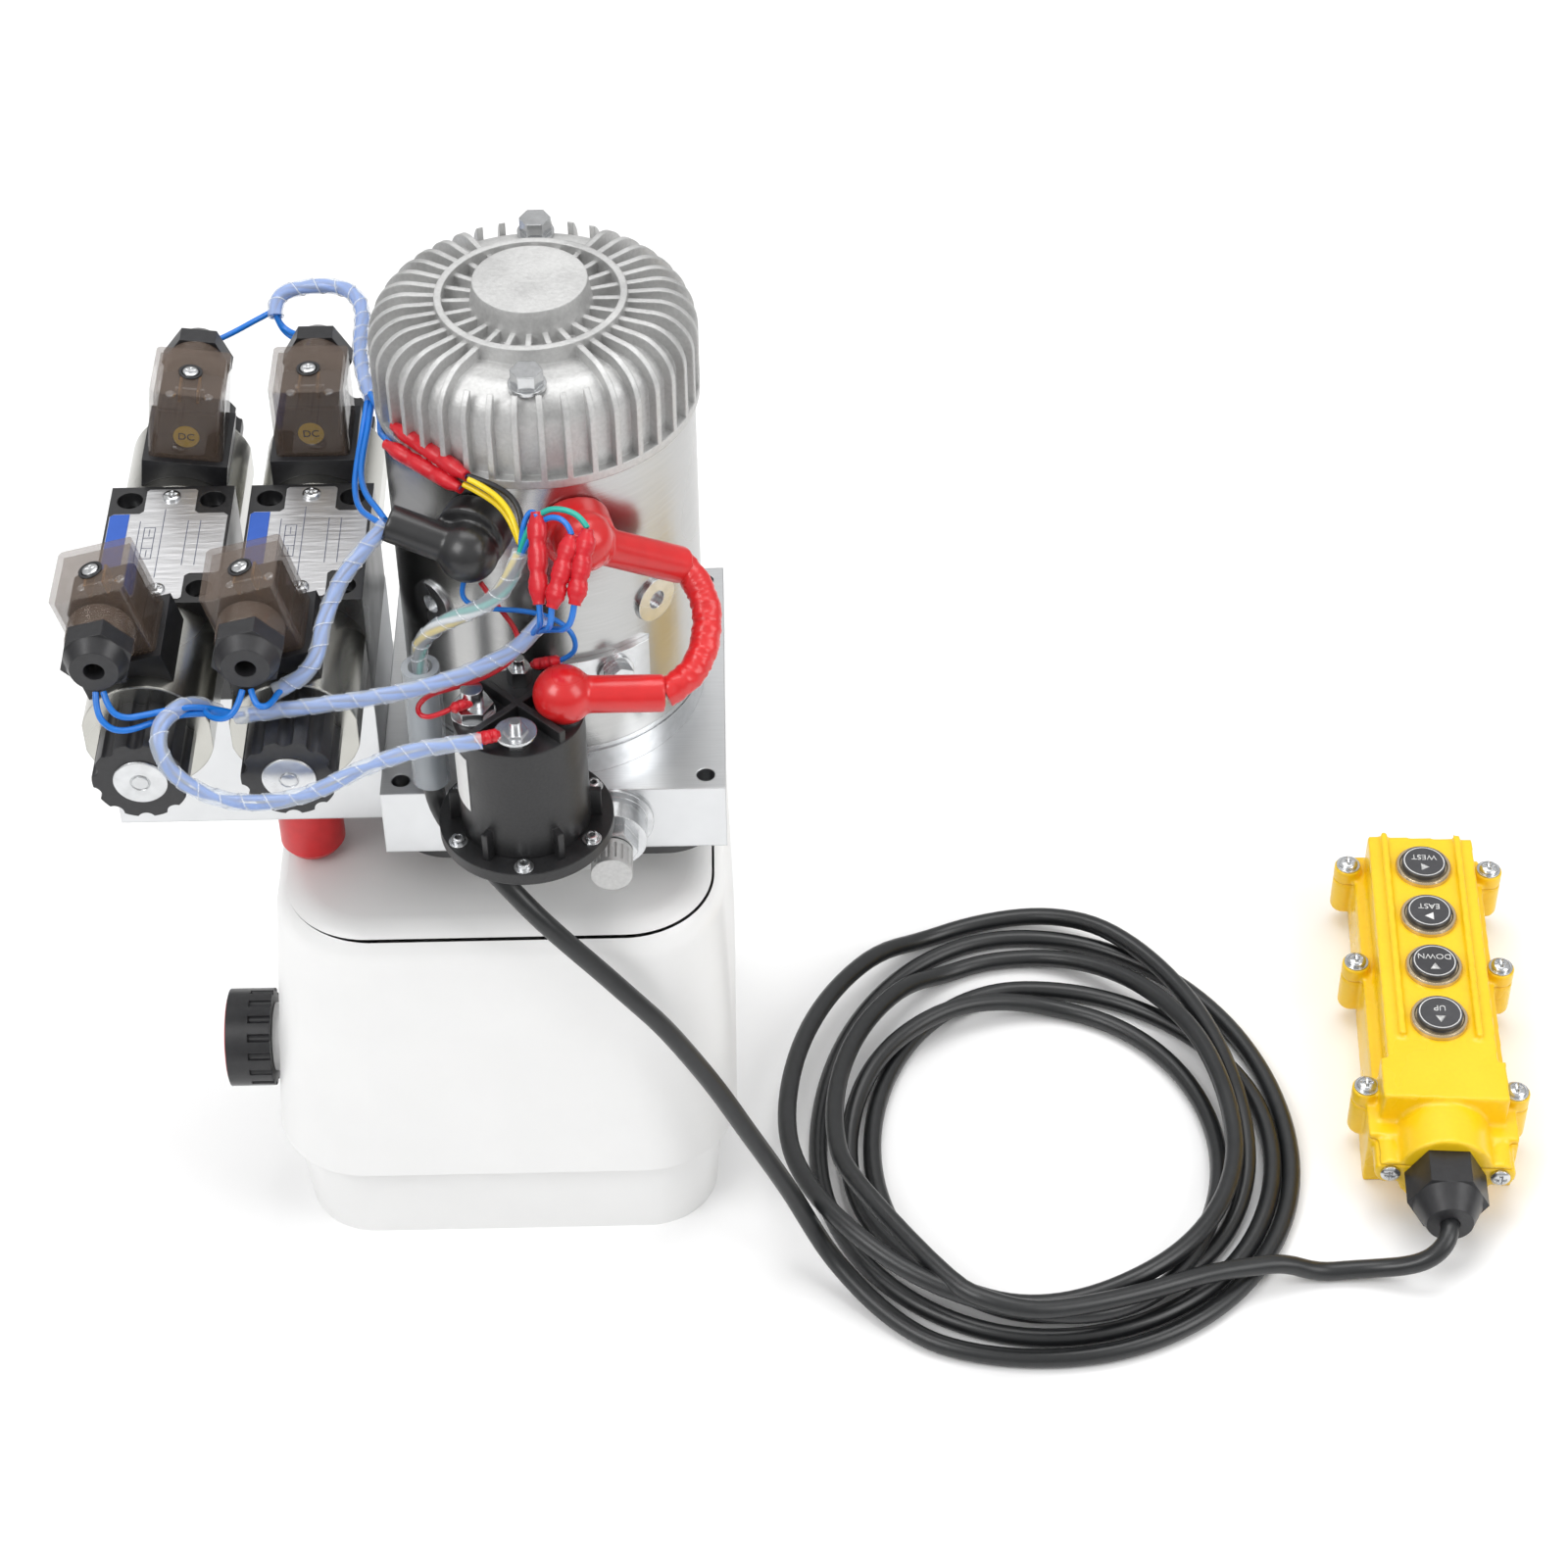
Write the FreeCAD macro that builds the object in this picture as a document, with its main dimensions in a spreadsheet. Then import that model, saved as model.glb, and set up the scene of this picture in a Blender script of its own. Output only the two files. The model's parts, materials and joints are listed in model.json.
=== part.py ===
"""Hydraulic power unit: plastic tank, gear pump, DC motor, starter relay, two directional valves, pendant.

The unit stands on its tank.  Millimetres, +Z up, +Y towards the back.  The origin is where the motor's
axis meets the plane of the tank's foot.  Every size comes from the sheet called Sizes.
"""

import FreeCAD, Part
import math
import os
import re

SIZES = {
    # tank
    "tank_length": 188.0, "tank_depth": 190.0, "tank_height": 177.0, "tank_shift": -28.0,
    "tank_wall": 3.5, "tank_corner": 38.0, "tank_draft": 3.0, "tank_left_draft": 12.0,
    "tank_shoulder": 14.0, "foot_height": 45.0, "foot_inset": 6.0, "foot_draft": 3.0,
    "neck_radius": 56.0, "neck_height": 16.0, "mouth_radius": 51.0,
    "seal_half": 63.5, "seal_height": 5.0, "seal_corner": 22.0,
    "filler_radius": 14.0, "filler_neck": 3.0, "filler_y": -40.0, "filler_z": 70.0,
    "cap_radius": 20.0, "cap_length": 18.0, "cap_clearance": 0.3,
    # pump block and pump
    "block_size": 130.0, "block_height": 30.0, "hole_pitch": 115.0, "hole_radius": 3.5,
    "coupling_radius": 13.0, "coupling_length": 22.0, "shaft_radius": 8.0, "running_gap": 0.05,
    "pump_half": 24.0, "pump_left": 22.0, "pump_right": 46.0, "pump_limit": 49.0, "pump_plate": 12.0,
    "gear_width": 16.0, "gear_module": 2.0, "gear_teeth": 12.0, "gear_gap": 0.15, "gear_end_gap": 0.05,
    "pump_bolt_radius": 3.0,
    "strainer_radius": 16.0, "strainer_length": 60.0, "strainer_x": 12.0, "strainer_neck": 10.0,
    # relief valve in the block's front face
    "relief_x": 22.0, "relief_bore": 8.0, "relief_depth": 34.0, "relief_ring_radius": 15.5,
    "relief_body_radius": 13.0, "relief_body_length": 12.0, "relief_hex": 17.0,
    "relief_cap_radius": 7.8, "relief_cap_length": 12.0,
    # motor
    "motor_radius": 57.15, "motor_wall": 4.5, "flange_height": 13.5, "motor_height": 139.0,
    "cap_rim_radius": 59.0, "cap_top": 174.5, "cap_ring_radius": 34.4, "cap_disc_radius": 21.0,
    "cap_disc_top": 187.0, "rib_width": 2.2, "rib_rise": 3.6, "cap_wall": 5.0,
    "armature_radius": 40.0, "armature_length": 72.0, "pole_gap": 1.0, "pole_height": 73.0,
    "commutator_radius": 21.0, "commutator_length": 20.0, "bearing_radius": 17.5, "bearing_width": 12.0,
    "through_bolt_circle": 46.5, "terminal_height": 120.0,
    # directional valves
    "manifold_length": 101.8, "manifold_lift": 5.0, "manifold_height": 62.0, "manifold_front": -51.0,
    "manifold_depth": 70.0, "valve_width": 46.0, "valve_length": 68.0, "valve_height": 47.0,
    "valve_right_x": -88.0, "valve_pitch": 52.3, "valve_bolt_x": 15.5, "valve_bolt_y": 26.0,
    "valve_bolt_radius": 2.6, "valve_hole_radius": 4.8,
    "spool_radius": 8.0, "coil_radius": 23.5, "coil_length": 46.0,
    "tube_radius": 11.5, "plunger_radius": 7.6, "pin_radius": 3.0,
    "nut_radius": 17.0, "nut_length": 23.5, "port_radius": 8.3, "port_depth": 14.0, "port_stagger": 6.5,
    "port_step": 2.0,
    "plug_radius": 12.5, "plug_length": 23.5, "plug_x": -96.5, "plug_y": -38.5,
    # plugs on the coils
    "boss_width": 32.0, "boss_height": 6.5, "inner_height": 8.0, "cover_width": 28.0, "cover_height": 30.0,
    "cover_length": 29.0, "cover_wall": 1.6, "neck_length": 10.0, "gland_radius": 11.5, "gland_length": 13.0,
    # relay
    "relay_x": -8.0, "relay_y": -93.0, "relay_lift": 8.0, "relay_flange": 32.0, "relay_flange_height": 7.0,
    "relay_radius": 23.7, "relay_height": 50.0, "relay_plunger_radius": 7.5,
    "stud_radius": 4.0, "stud_height": 12.0, "stud_spread": 16.0,
    # pendant, on its own frame: Y runs along it and its middle is between the second and third buttons
    "pendant_x": 366.0, "pendant_y": 25.5, "pendant_turn": -4.5, "pendant_base_height": 26.0,
    "pendant_height": 44.0, "pendant_half": 23.0, "pendant_top": 65.5, "pendant_neck": -68.0,
    "bulge_half": 31.0, "pendant_end": -98.0, "nose_end": -112.0, "nose_radius": 20.0,
    "lobe_x": 22.5, "lobe_radius": 6.5, "pendant_wall": 3.0, "button_pitch": 30.4,
    "button_radius": 9.6, "button_rise": 4.5, "button_travel": 3.5, "button_gap": 0.5,
    "lug_x": 31.0, "lug_radius": 6.0, "lug_foot": 9.0, "lug_height": 33.0, "screw_radius": 4.0,
    "pendant_gland_radius": 15.5, "pendant_gland_length": 27.0, "pendant_gland_z": 22.0,
    # pendant cable
    "cable_radius": 3.9, "coil_x": 192.5, "coil_y": -40.5, "coil_half_x": 111.0, "coil_half_y": 129.0,
    "coil_hole_x": 195.0, "coil_hole_y": -68.5, "coil_hole_half_x": 72.0, "coil_hole_half_y": 79.0,
    "coil_height": 20.0, "sleeve_radius": 7.0, "sleeve_x": -44.0, "sleeve_y": -71.5,
    "sleeve_lift": 14.0, "sleeve_length": 55.0,
    # wiring
    "power_cable_radius": 5.0, "boot_radius": 11.0, "loom_radius": 3.3,
}

DERIVED = {
    "block_bottom": "tank_height + neck_height + seal_height",
    "block_top": "tank_height + neck_height + seal_height + block_height",
    "block_half": "block_size / 2",
    "motor_top": "block_top + motor_height",
    "motor_bore": "motor_radius - motor_wall",
    "gear_pitch_radius": "gear_module * gear_teeth / 2",
    "gear_centres": "gear_module * gear_teeth",
    "gear_tip_radius": "gear_module * (gear_teeth / 2 + 0.9)",
    "pump_bottom": "block_bottom - 2 * pump_plate - gear_width",
    "gear_bottom": "block_bottom - pump_plate - gear_width",
    "manifold_bottom": "block_bottom + manifold_lift",
    "manifold_top": "block_bottom + manifold_lift + manifold_height",
    "valve_axis_z": "block_bottom + manifold_lift + manifold_height + valve_height / 2",
    "valve_front": "manifold_front",
    "valve_middle": "manifold_front + valve_length / 2",
    "valve_back": "manifold_front + valve_length",
    "relay_base_z": "block_top + relay_lift",
    "relay_top": "block_top + relay_lift + relay_flange_height + relay_height",
    "relief_z": "block_bottom + block_height / 2",
    "filler_face": "tank_shift - tank_length / 2 + "
                   "tank_left_draft * (filler_z - foot_height) / (tank_height - foot_height)",
    "valve_left_x": "valve_right_x - valve_pitch",
    "spool_reach": "valve_length / 2 + coil_length + nut_length",
}

Vector = FreeCAD.Vector
Rotation = FreeCAD.Rotation
AXES = {
    "Z": Rotation(),
    "-Z": Rotation(Vector(1, 0, 0), 180),
    "X": Rotation(Vector(0, 1, 0), 90),
    "-X": Rotation(Vector(0, 1, 0), -90),
    "Y": Rotation(Vector(1, 0, 0), -90),
    "-Y": Rotation(Vector(1, 0, 0), 90),
}
WORD = re.compile(r"[A-Za-z_]\w*")

doc = FreeCAD.newDocument("HydraulicPowerUnit")
sheet = doc.addObject("Spreadsheet::Sheet", "Sizes")
for row, (alias, value) in enumerate({**SIZES, **DERIVED}.items(), start=1):
    sheet.set(f"A{row}", alias)
    sheet.set(f"B{row}", f"={value}" if alias in DERIVED else str(value))
    sheet.setAlias(f"B{row}", alias)
doc.recompute()
nodes = []


# ---------------------------------------------------------------- helpers


def size(alias):
    """Read a size from the sheet, for the few shapes that Part's own functions make."""
    return float(getattr(sheet, alias))


def link(obj, path, text):
    """Bind a property to an expression written with the sheet's aliases."""
    aliases = {**SIZES, **DERIVED}
    bound = WORD.sub(lambda word: f"Sizes.{word[0]}" if word[0] in aliases else word[0], str(text))
    obj.setExpression(path, bound)


def place(obj, at=(0, 0, 0), turn=None):
    """Put an object's own origin at a point given by expressions, turned by a fixed rotation."""
    obj.Placement = FreeCAD.Placement(Vector(), turn or Rotation())
    for letter, text in zip("xyz", at):
        link(obj, f".Placement.Base.{letter}", text)
    return obj


def box(name, spans, at=(0, 0, 0)):
    obj = doc.addObject("Part::Box", name)
    for prop, text in zip(("Length", "Width", "Height"), spans):
        link(obj, prop, text)
    return place(obj, at)


def slab(name, half_x, y0, y1, z0, z1):
    """A box that is centred on X = 0."""
    return box(name, (f"2 * ({half_x})", f"({y1}) - ({y0})", f"({z1}) - ({z0})"), (f"-({half_x})", y0, z0))


def cyl(name, radius, height, at=(0, 0, 0), axis="Z"):
    obj = doc.addObject("Part::Cylinder", name)
    link(obj, "Radius", radius)
    link(obj, "Height", height)
    return place(obj, at, AXES[axis])


def cone(name, radius1, radius2, height, at=(0, 0, 0), axis="Z"):
    obj = doc.addObject("Part::Cone", name)
    link(obj, "Radius1", radius1)
    link(obj, "Radius2", radius2)
    link(obj, "Height", height)
    return place(obj, at, AXES[axis])


def ball(name, radius, at=(0, 0, 0)):
    """A sphere, turned so that its seam and poles miss the pieces it joins."""
    obj = doc.addObject("Part::Sphere", name)
    link(obj, "Radius", radius)
    return place(obj, at, Rotation(Vector(1, 2, 3), 40))


def hexagon(name, across, height, at=(0, 0, 0), axis="Z"):
    obj = doc.addObject("Part::Prism", name)
    obj.Polygon = 6
    link(obj, "Circumradius", f"({across}) / sqrt(3)")
    link(obj, "Height", height)
    return place(obj, at, AXES[axis])


def fuse(name, *pieces):
    obj = doc.addObject("Part::MultiFuse", name)
    obj.Shapes = list(pieces)
    return obj


def group(name, *pieces):
    """Separate solids kept side by side in one object."""
    obj = doc.addObject("Part::Compound", name)
    obj.Links = list(pieces)
    return obj


def cut(name, base, *tools):
    obj = doc.addObject("Part::Cut", name)
    obj.Base = base
    obj.Tool = tools[0] if len(tools) == 1 else fuse(f"{name}_tools", *tools)
    return obj


def common(name, first, second):
    obj = doc.addObject("Part::MultiCommon", name)
    obj.Shapes = [first, second]
    return obj


def ring(name, outer, inner, height, at=(0, 0, 0), axis="Z"):
    return cut(name, cyl(f"{name}_outer", outer, height, at, axis),
               cyl(f"{name}_bore", inner, height, at, axis))


def turned(name, piece, turn, at=(0, 0, 0)):
    """The piece carried by a frame of its own: turned about its origin, then moved to a point."""
    return place(group(name, piece), at, turn)


def round_edges(name, base, radius, pick):
    """Fillet the edges that pick(edge) accepts; the radius is an expression read when it is built."""
    doc.recompute()
    probe = doc.addObject("Part::Box", f"{name}_radius")
    link(probe, "Length", radius)
    doc.recompute()
    length = probe.Length.Value
    doc.removeObject(probe.Name)
    obj = doc.addObject("Part::Fillet", name)
    obj.Base = base
    obj.Edges = [(i, length, length) for i, edge in enumerate(base.Shape.Edges, start=1) if pick(edge)]
    return obj


def upright(edge):
    """True for a straight edge along Z."""
    if not isinstance(edge.Curve, Part.Line):
        return False
    return abs(edge.Curve.Direction.z) > 0.95


def level_at(height):
    """A test for edges that lie flat at one height."""
    return lambda edge: abs(edge.BoundBox.ZMin - height) < 0.01 and abs(edge.BoundBox.ZMax - height) < 0.01


def around(radius, count, start=0.0):
    """Angle in degrees and X, Y expressions of points evenly spaced on a circle about the origin."""
    for step in range(count):
        angle = start + 360.0 * step / count
        c = round(math.cos(math.radians(angle)), 6)
        s = round(math.sin(math.radians(angle)), 6)
        yield angle, f"({radius}) * ({c})", f"({radius}) * ({s})"


def radial_box(name, inner, outer, width, bottom, top, angle):
    """A plate that stands on edge and points out from the Z axis at an angle."""
    c = round(math.cos(math.radians(angle)), 6)
    s = round(math.sin(math.radians(angle)), 6)
    obj = box(name, (f"({outer}) - ({inner})", width, f"({top}) - ({bottom})"))
    at = (f"({inner}) * ({c}) + ({width}) / 2 * ({s})", f"({inner}) * ({s}) - ({width}) / 2 * ({c})", bottom)
    return place(obj, at, Rotation(Vector(0, 0, 1), angle))


def tube_path(points):
    """Straight runs joined by tangent arcs, each as large as its runs allow.  Gives the wire and radii."""
    points = [Vector(*point) for point in points]
    edges = []
    radii = []
    start = points[0]
    for before, corner, after in zip(points, points[1:], points[2:]):
        back = (before - corner).normalize()
        ahead = (after - corner).normalize()
        reach = 0.45 * min((before - corner).Length, (after - corner).Length)
        turn = math.pi - back.getAngle(ahead)
        radius = reach / math.tan(turn / 2)
        first = corner + back * reach
        last = corner + ahead * reach
        bisector = (back + ahead).normalize()
        middle = corner + bisector * (radius / math.cos(turn / 2) - radius)
        edges.append(Part.LineSegment(start, first).toShape())
        edges.append(Part.Arc(first, middle, last).toShape())
        radii.append(radius)
        start = last
    edges.append(Part.LineSegment(start, points[-1]).toShape())
    return Part.Wire(edges), radii


def tube(name, radius, points):
    """A round tube along a route.  Its volume is compared with its section times its length."""
    wire, radii = tube_path(points)
    direction = wire.Edges[0].tangentAt(wire.Edges[0].FirstParameter)
    section = Part.Wire([Part.makeCircle(radius, Vector(*points[0]), direction)])
    shape = wire.makePipeShell([section], True, True)
    expected = math.pi * radius ** 2 * wire.Length
    if abs(shape.Volume / expected - 1) > 0.01:
        raise ValueError(f"{name}: volume {shape.Volume:.0f}, expected {expected:.0f}")
    print(f"{name}: length {wire.Length:.0f}, radii {[round(r, 1) for r in radii]}")
    obj = doc.addObject("Part::Feature", name)
    obj.Shape = shape
    return obj


def node(name, obj):
    """Mark an object as a sub-part: its Label names its file."""
    obj.Label = name
    nodes.append(obj)
    return obj


# ---------------------------------------------------------------- tank


def drafted_box(name, inset, bottom, top, x_top_left, draft):
    """A box on the tank's plan that narrows towards its top, with rounded upright corners."""
    wedge = doc.addObject("Part::Wedge", name)
    left = f"tank_shift - tank_length / 2 + ({inset})"
    right = f"tank_shift + tank_length / 2 - ({inset})"
    half = f"tank_depth / 2 - ({inset})"
    faces = {
        "Xmin": left, "Xmax": right, "X2min": f"{left} + ({x_top_left})", "X2max": f"{right} - ({draft})",
        "Zmin": f"-({half})", "Zmax": half, "Z2min": f"-({half}) + ({draft})", "Z2max": f"{half} - ({draft})",
        "Ymin": 0, "Ymax": f"({top}) - ({bottom})",
    }
    for prop, text in faces.items():
        link(wedge, prop, text)
    place(wedge, (0, 0, bottom), Rotation(Vector(1, 0, 0), 90))
    return round_edges(f"{name}_corners", wedge, f"tank_corner - ({inset})", upright)


def make_tank():
    body = drafted_box("tank_body", 0, "foot_height", "tank_height", "tank_left_draft", "tank_draft")
    body = round_edges("tank_shoulders", body, "tank_shoulder", level_at(size("tank_height")))
    foot = drafted_box("tank_foot", "foot_inset + foot_draft", 0, "foot_height", "-foot_draft", "-foot_draft")
    neck = cyl("tank_neck", "neck_radius", "neck_height", (0, 0, "tank_height"))
    wall = "tank_wall"
    at = ("filler_face - filler_neck", "filler_y", "filler_z")
    filler = cyl("filler_tube", "filler_radius", "filler_neck + tank_wall", at, "X")
    shell = fuse("tank_shell", body, foot, neck, filler)
    inner = drafted_box(
        "tank_cavity", wall, f"foot_height + {wall}", f"tank_height - {wall}", "tank_left_draft", "tank_draft"
    )
    inner_foot = drafted_box("foot_cavity", f"foot_inset + foot_draft + {wall}", wall,
                             f"foot_height + 2 * {wall}", 0, 0)
    mouth = cyl("tank_mouth", "mouth_radius", f"neck_height + 2 * {wall}",
                (0, 0, f"tank_height - 2 * {wall}"))
    at = ("filler_face - filler_neck - 1", "filler_y", "filler_z")
    bore = cyl("filler_bore", f"filler_radius - {wall}", "filler_neck + 4 * tank_wall", at, "X")
    node("tank", cut("tank_hollow", shell, fuse("tank_space", inner, inner_foot, mouth, bore)))
    plate = slab("seal_plate", "seal_half", "-seal_half", "seal_half", "block_bottom - seal_height",
                 "block_bottom")
    plate = round_edges("seal_rounded", plate, "seal_corner", upright)
    hole = cyl("seal_hole", "mouth_radius", "seal_height", (0, 0, "block_bottom - seal_height"))
    node("tank_seal", cut("seal_bored", plate, hole))


def make_filler_cap():
    """The cap stands clear of the drafted wall and its skirt hides the neck."""
    start = "filler_face - filler_neck - cap_clearance"
    body = cyl("cap_body", "cap_radius", "cap_length", (start, "filler_y", "filler_z"), "-X")
    at = (f"{start}", "filler_y", "filler_z")
    stem = cyl("cap_stem", "filler_radius - tank_wall - cap_clearance", "cap_length / 2", at, "X")
    slots = []
    for angle, y, z in around("cap_radius", 16):
        slot = cyl(f"cap_slot_{angle:.0f}", 1.6, "cap_length / 2",
                   (start, f"filler_y + {y}", f"filler_z + {z}"), "-X")
        slots.append(slot)
    node("filler_cap", cut("cap_gripped", fuse("cap_whole", body, stem), *slots))


# ---------------------------------------------------------------- pump block, pump and relief valve


def pump_bolt_places():
    for x in ("-(pump_left - 6)", "pump_right - 6"):
        for y in ("-(pump_half - 7)", "pump_half - 7"):
            yield x, y


def make_block():
    body = box("block_body", ("block_size",) * 2 + ("block_height",),
               ("-block_half", "-block_half", "block_bottom"))
    tools = [cyl("coupling_bore", "coupling_radius + 1", "block_height", (0, 0, "block_bottom"))]
    for x in (-1, 1):
        for y in (-1, 1):
            at = (f"{x} * hole_pitch / 2", f"{y} * hole_pitch / 2", "block_bottom")
            tools.append(cyl("corner_hole", "hole_radius", "block_height", at))
    for x, y in pump_bolt_places():
        tools.append(cyl("bolt_hole", "pump_bolt_radius", "block_height / 2", (x, y, "block_bottom")))
    at = ("relief_x", "-block_half", "relief_z")
    tools.append(cyl("relief_socket", "relief_bore", "relief_depth", at, "Y"))
    at = ("relief_x", "-block_half + relief_depth", "relief_z")
    tools.append(cyl("pressure_drilling", 3, "relief_depth / 2", at, "Y"))
    node("pump_block", cut("block_drilled", body, *tools))


def pump_outline(name, bottom, top):
    """A slice of the pump: a flat-sided plate that passes through the tank's mouth."""
    spans = ("pump_left + pump_right", "2 * pump_half", f"({top}) - ({bottom})")
    plate = box(f"{name}_plate", spans, ("-pump_left", "-pump_half", bottom))
    limit = cyl(f"{name}_limit", "pump_limit", f"({top}) - ({bottom})", (0, 0, bottom))
    return common(f"{name}_outline", plate, limit)


def gear_shape(phase):
    """A spur gear with involute flanks, as a flat outline pushed up by the gear's width."""
    module = size("gear_module")
    teeth = int(size("gear_teeth"))
    pitch = size("gear_pitch_radius")
    pressure = math.radians(28)
    base = pitch * math.cos(pressure)
    tip = size("gear_tip_radius")
    root = pitch - 1.15 * module
    half_tooth = math.pi / (2 * teeth) - size("gear_gap") / pitch
    inv_pitch = math.tan(pressure) - pressure
    flank = []
    steps = 8
    for step in range(steps + 1):
        radius = base + (tip - base) * step / steps
        slope = math.acos(base / radius)
        flank.append((radius, half_tooth + inv_pitch - (math.tan(slope) - slope)))
    flank.insert(0, (root, flank[0][1]))
    points = []
    for tooth in range(teeth):
        middle = 2 * math.pi * tooth / teeth + phase
        for radius, half in flank:
            points.append(Vector(radius * math.cos(middle - half), radius * math.sin(middle - half), 0))
        for radius, half in reversed(flank):
            points.append(Vector(radius * math.cos(middle + half), radius * math.sin(middle + half), 0))
    face = Part.Face(Part.makePolygon(points + points[:1]))
    return face.extrude(Vector(0, 0, size("gear_width") - 2 * size("gear_end_gap")))


def make_gear(name, x, phase, shaft_bottom, shaft_top):
    wheel = doc.addObject("Part::Feature", f"{name}_wheel")
    wheel.Shape = gear_shape(phase)
    place(wheel, (x, 0, "gear_bottom + gear_end_gap"))
    shaft = cyl(f"{name}_shaft", "shaft_radius", f"({shaft_top}) - ({shaft_bottom})", (x, 0, shaft_bottom))
    node(name, fuse(f"{name}_whole", wheel, shaft))


def make_pump():
    bore = "gear_tip_radius + 0.1"
    journal = "shaft_radius + running_gap"
    depth = "pump_plate - 3"
    body = pump_outline("pump", "gear_bottom", "block_bottom")
    tools = [
        cyl("drive_pocket", bore, "gear_width", (0, 0, "gear_bottom")),
        cyl("driven_pocket", bore, "gear_width", ("gear_centres", 0, "gear_bottom")),
        cyl("drive_journal", journal, "gear_width + pump_plate", (0, 0, "gear_bottom")),
        cyl("driven_journal", journal, f"gear_width + {depth}", ("gear_centres", 0, "gear_bottom")),
    ]
    cover = pump_outline("cover", "pump_bottom", "gear_bottom")
    cover_tools = [
        cyl("drive_foot", journal, depth, (0, 0, "gear_bottom - pump_plate + 3")),
        cyl("driven_foot", journal, depth, ("gear_centres", 0, "gear_bottom - pump_plate + 3")),
    ]
    bolts = []
    for x, y in pump_bolt_places():
        clear = "pump_bolt_radius + 0.3"
        tools.append(cyl("body_hole", clear, "gear_width + pump_plate", (x, y, "gear_bottom")))
        cover_tools.append(cyl("cover_hole", clear, "pump_plate", (x, y, "pump_bottom")))
        length = "2 * pump_plate + gear_width + block_height / 2 - 2"
        shank = cyl("pump_bolt_shank", "pump_bolt_radius", length, (x, y, "pump_bottom"))
        head = hexagon("pump_bolt_head", 10, 5, (x, y, "pump_bottom - 5"))
        bolts.append(fuse("pump_bolt", shank, head))
    node("pump_body", cut("pump_bored", body, *tools))
    node("pump_cover", cut("cover_bored", cover, *cover_tools))
    node("pump_bolts", group("pump_bolt_set", *bolts))
    reach = "pump_plate - 4"
    half_pitch = math.pi / size("gear_teeth")
    make_gear("drive_gear", 0, 0.0, f"gear_bottom - ({reach})", "relief_z - 0.5")
    make_gear("driven_gear", "gear_centres", half_pitch, f"gear_bottom - ({reach})",
              f"gear_bottom + gear_width + {reach}")
    top = "pump_bottom - strainer_neck"
    can = cyl("strainer_can", "strainer_radius", "strainer_length",
              ("strainer_x", 0, f"{top} - strainer_length"))
    neck = cyl("strainer_pipe", "strainer_radius / 2", "strainer_neck", ("strainer_x", 0, top))
    at = ("strainer_x", 0, f"{top} - strainer_length + 1.5")
    space = cyl("strainer_space", "strainer_radius - 1.5", "strainer_length - 3", at)
    bore = cyl("strainer_bore", "strainer_radius / 2 - 2", "strainer_neck + 2",
               ("strainer_x", 0, f"{top} - 2"))
    node("suction_strainer", cut("strainer_hollow", fuse("strainer_whole", can, neck), space, bore))


def make_relief_valve():
    """A cartridge screwed into the block, its sprung poppet, and the cap that sets the spring."""
    face = "-block_half"

    def along(distance):
        return ("relief_x", f"{face} + ({distance})", "relief_z")

    body = fuse(
        "relief_turned",
        cyl("relief_ring", "relief_ring_radius", 1.5, along(0), "-Y"),
        cyl("relief_barrel", "relief_body_radius", "relief_body_length", along(0), "-Y"),
        hexagon("relief_nut", "relief_hex", "relief_body_length + 6", along(0), "-Y"),
        cyl("relief_stem", "relief_bore", 22, along(0), "Y"),
    )
    bore = cyl("relief_inner", "5 + running_gap", 24, along(-2), "Y")
    thread = cyl("relief_thread", "4 + running_gap", 12, along("-relief_body_length - 7"), "Y")
    node("relief_valve_body", cut("relief_bored", body, bore, thread))
    poppet = fuse(
        "poppet_whole",
        cyl("poppet_barrel", 5, 14, along(8), "Y"),
        cone("poppet_tip", 5, 2.5, "relief_depth - 22", along(22), "Y"),
    )
    node("relief_poppet", poppet)
    start = "-relief_body_length - 6.3"
    cap = cyl("relief_knob", "relief_cap_radius", "relief_cap_length", along(start), "-Y")
    stub = cyl("relief_stub", 4, 8, along(start), "Y")
    ribs = []
    for angle, x, z in around("relief_cap_radius", 18):
        at = (f"relief_x + {x}", f"{face} + {start} - 2", f"relief_z + {z}")
        ribs.append(cyl(f"relief_rib_{angle:.0f}", 0.5, "relief_cap_length - 4", at, "-Y"))
    node("relief_valve_cap", cut("relief_gripped", fuse("relief_cap_whole", cap, stub), *ribs))


# ---------------------------------------------------------------- motor


def radial_cyl(name, radius, inner, outer, angle, height):
    """A cylinder that points out from the motor's axis."""
    turn = Rotation(Vector(0, 0, 1), angle).multiply(AXES["X"])
    c = round(math.cos(math.radians(angle)), 6)
    s = round(math.sin(math.radians(angle)), 6)
    obj = cyl(name, radius, f"({outer}) - ({inner})")
    return place(obj, (f"({inner}) * ({c})", f"({inner}) * ({s})", height), turn)


POLE_ANGLES = (-45, 45, 135, -135)
TERMINAL_ANGLES = {"negative": -110.5, "positive": -76.0}
BRACKET_BOLT_ANGLE = -65.0


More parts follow.
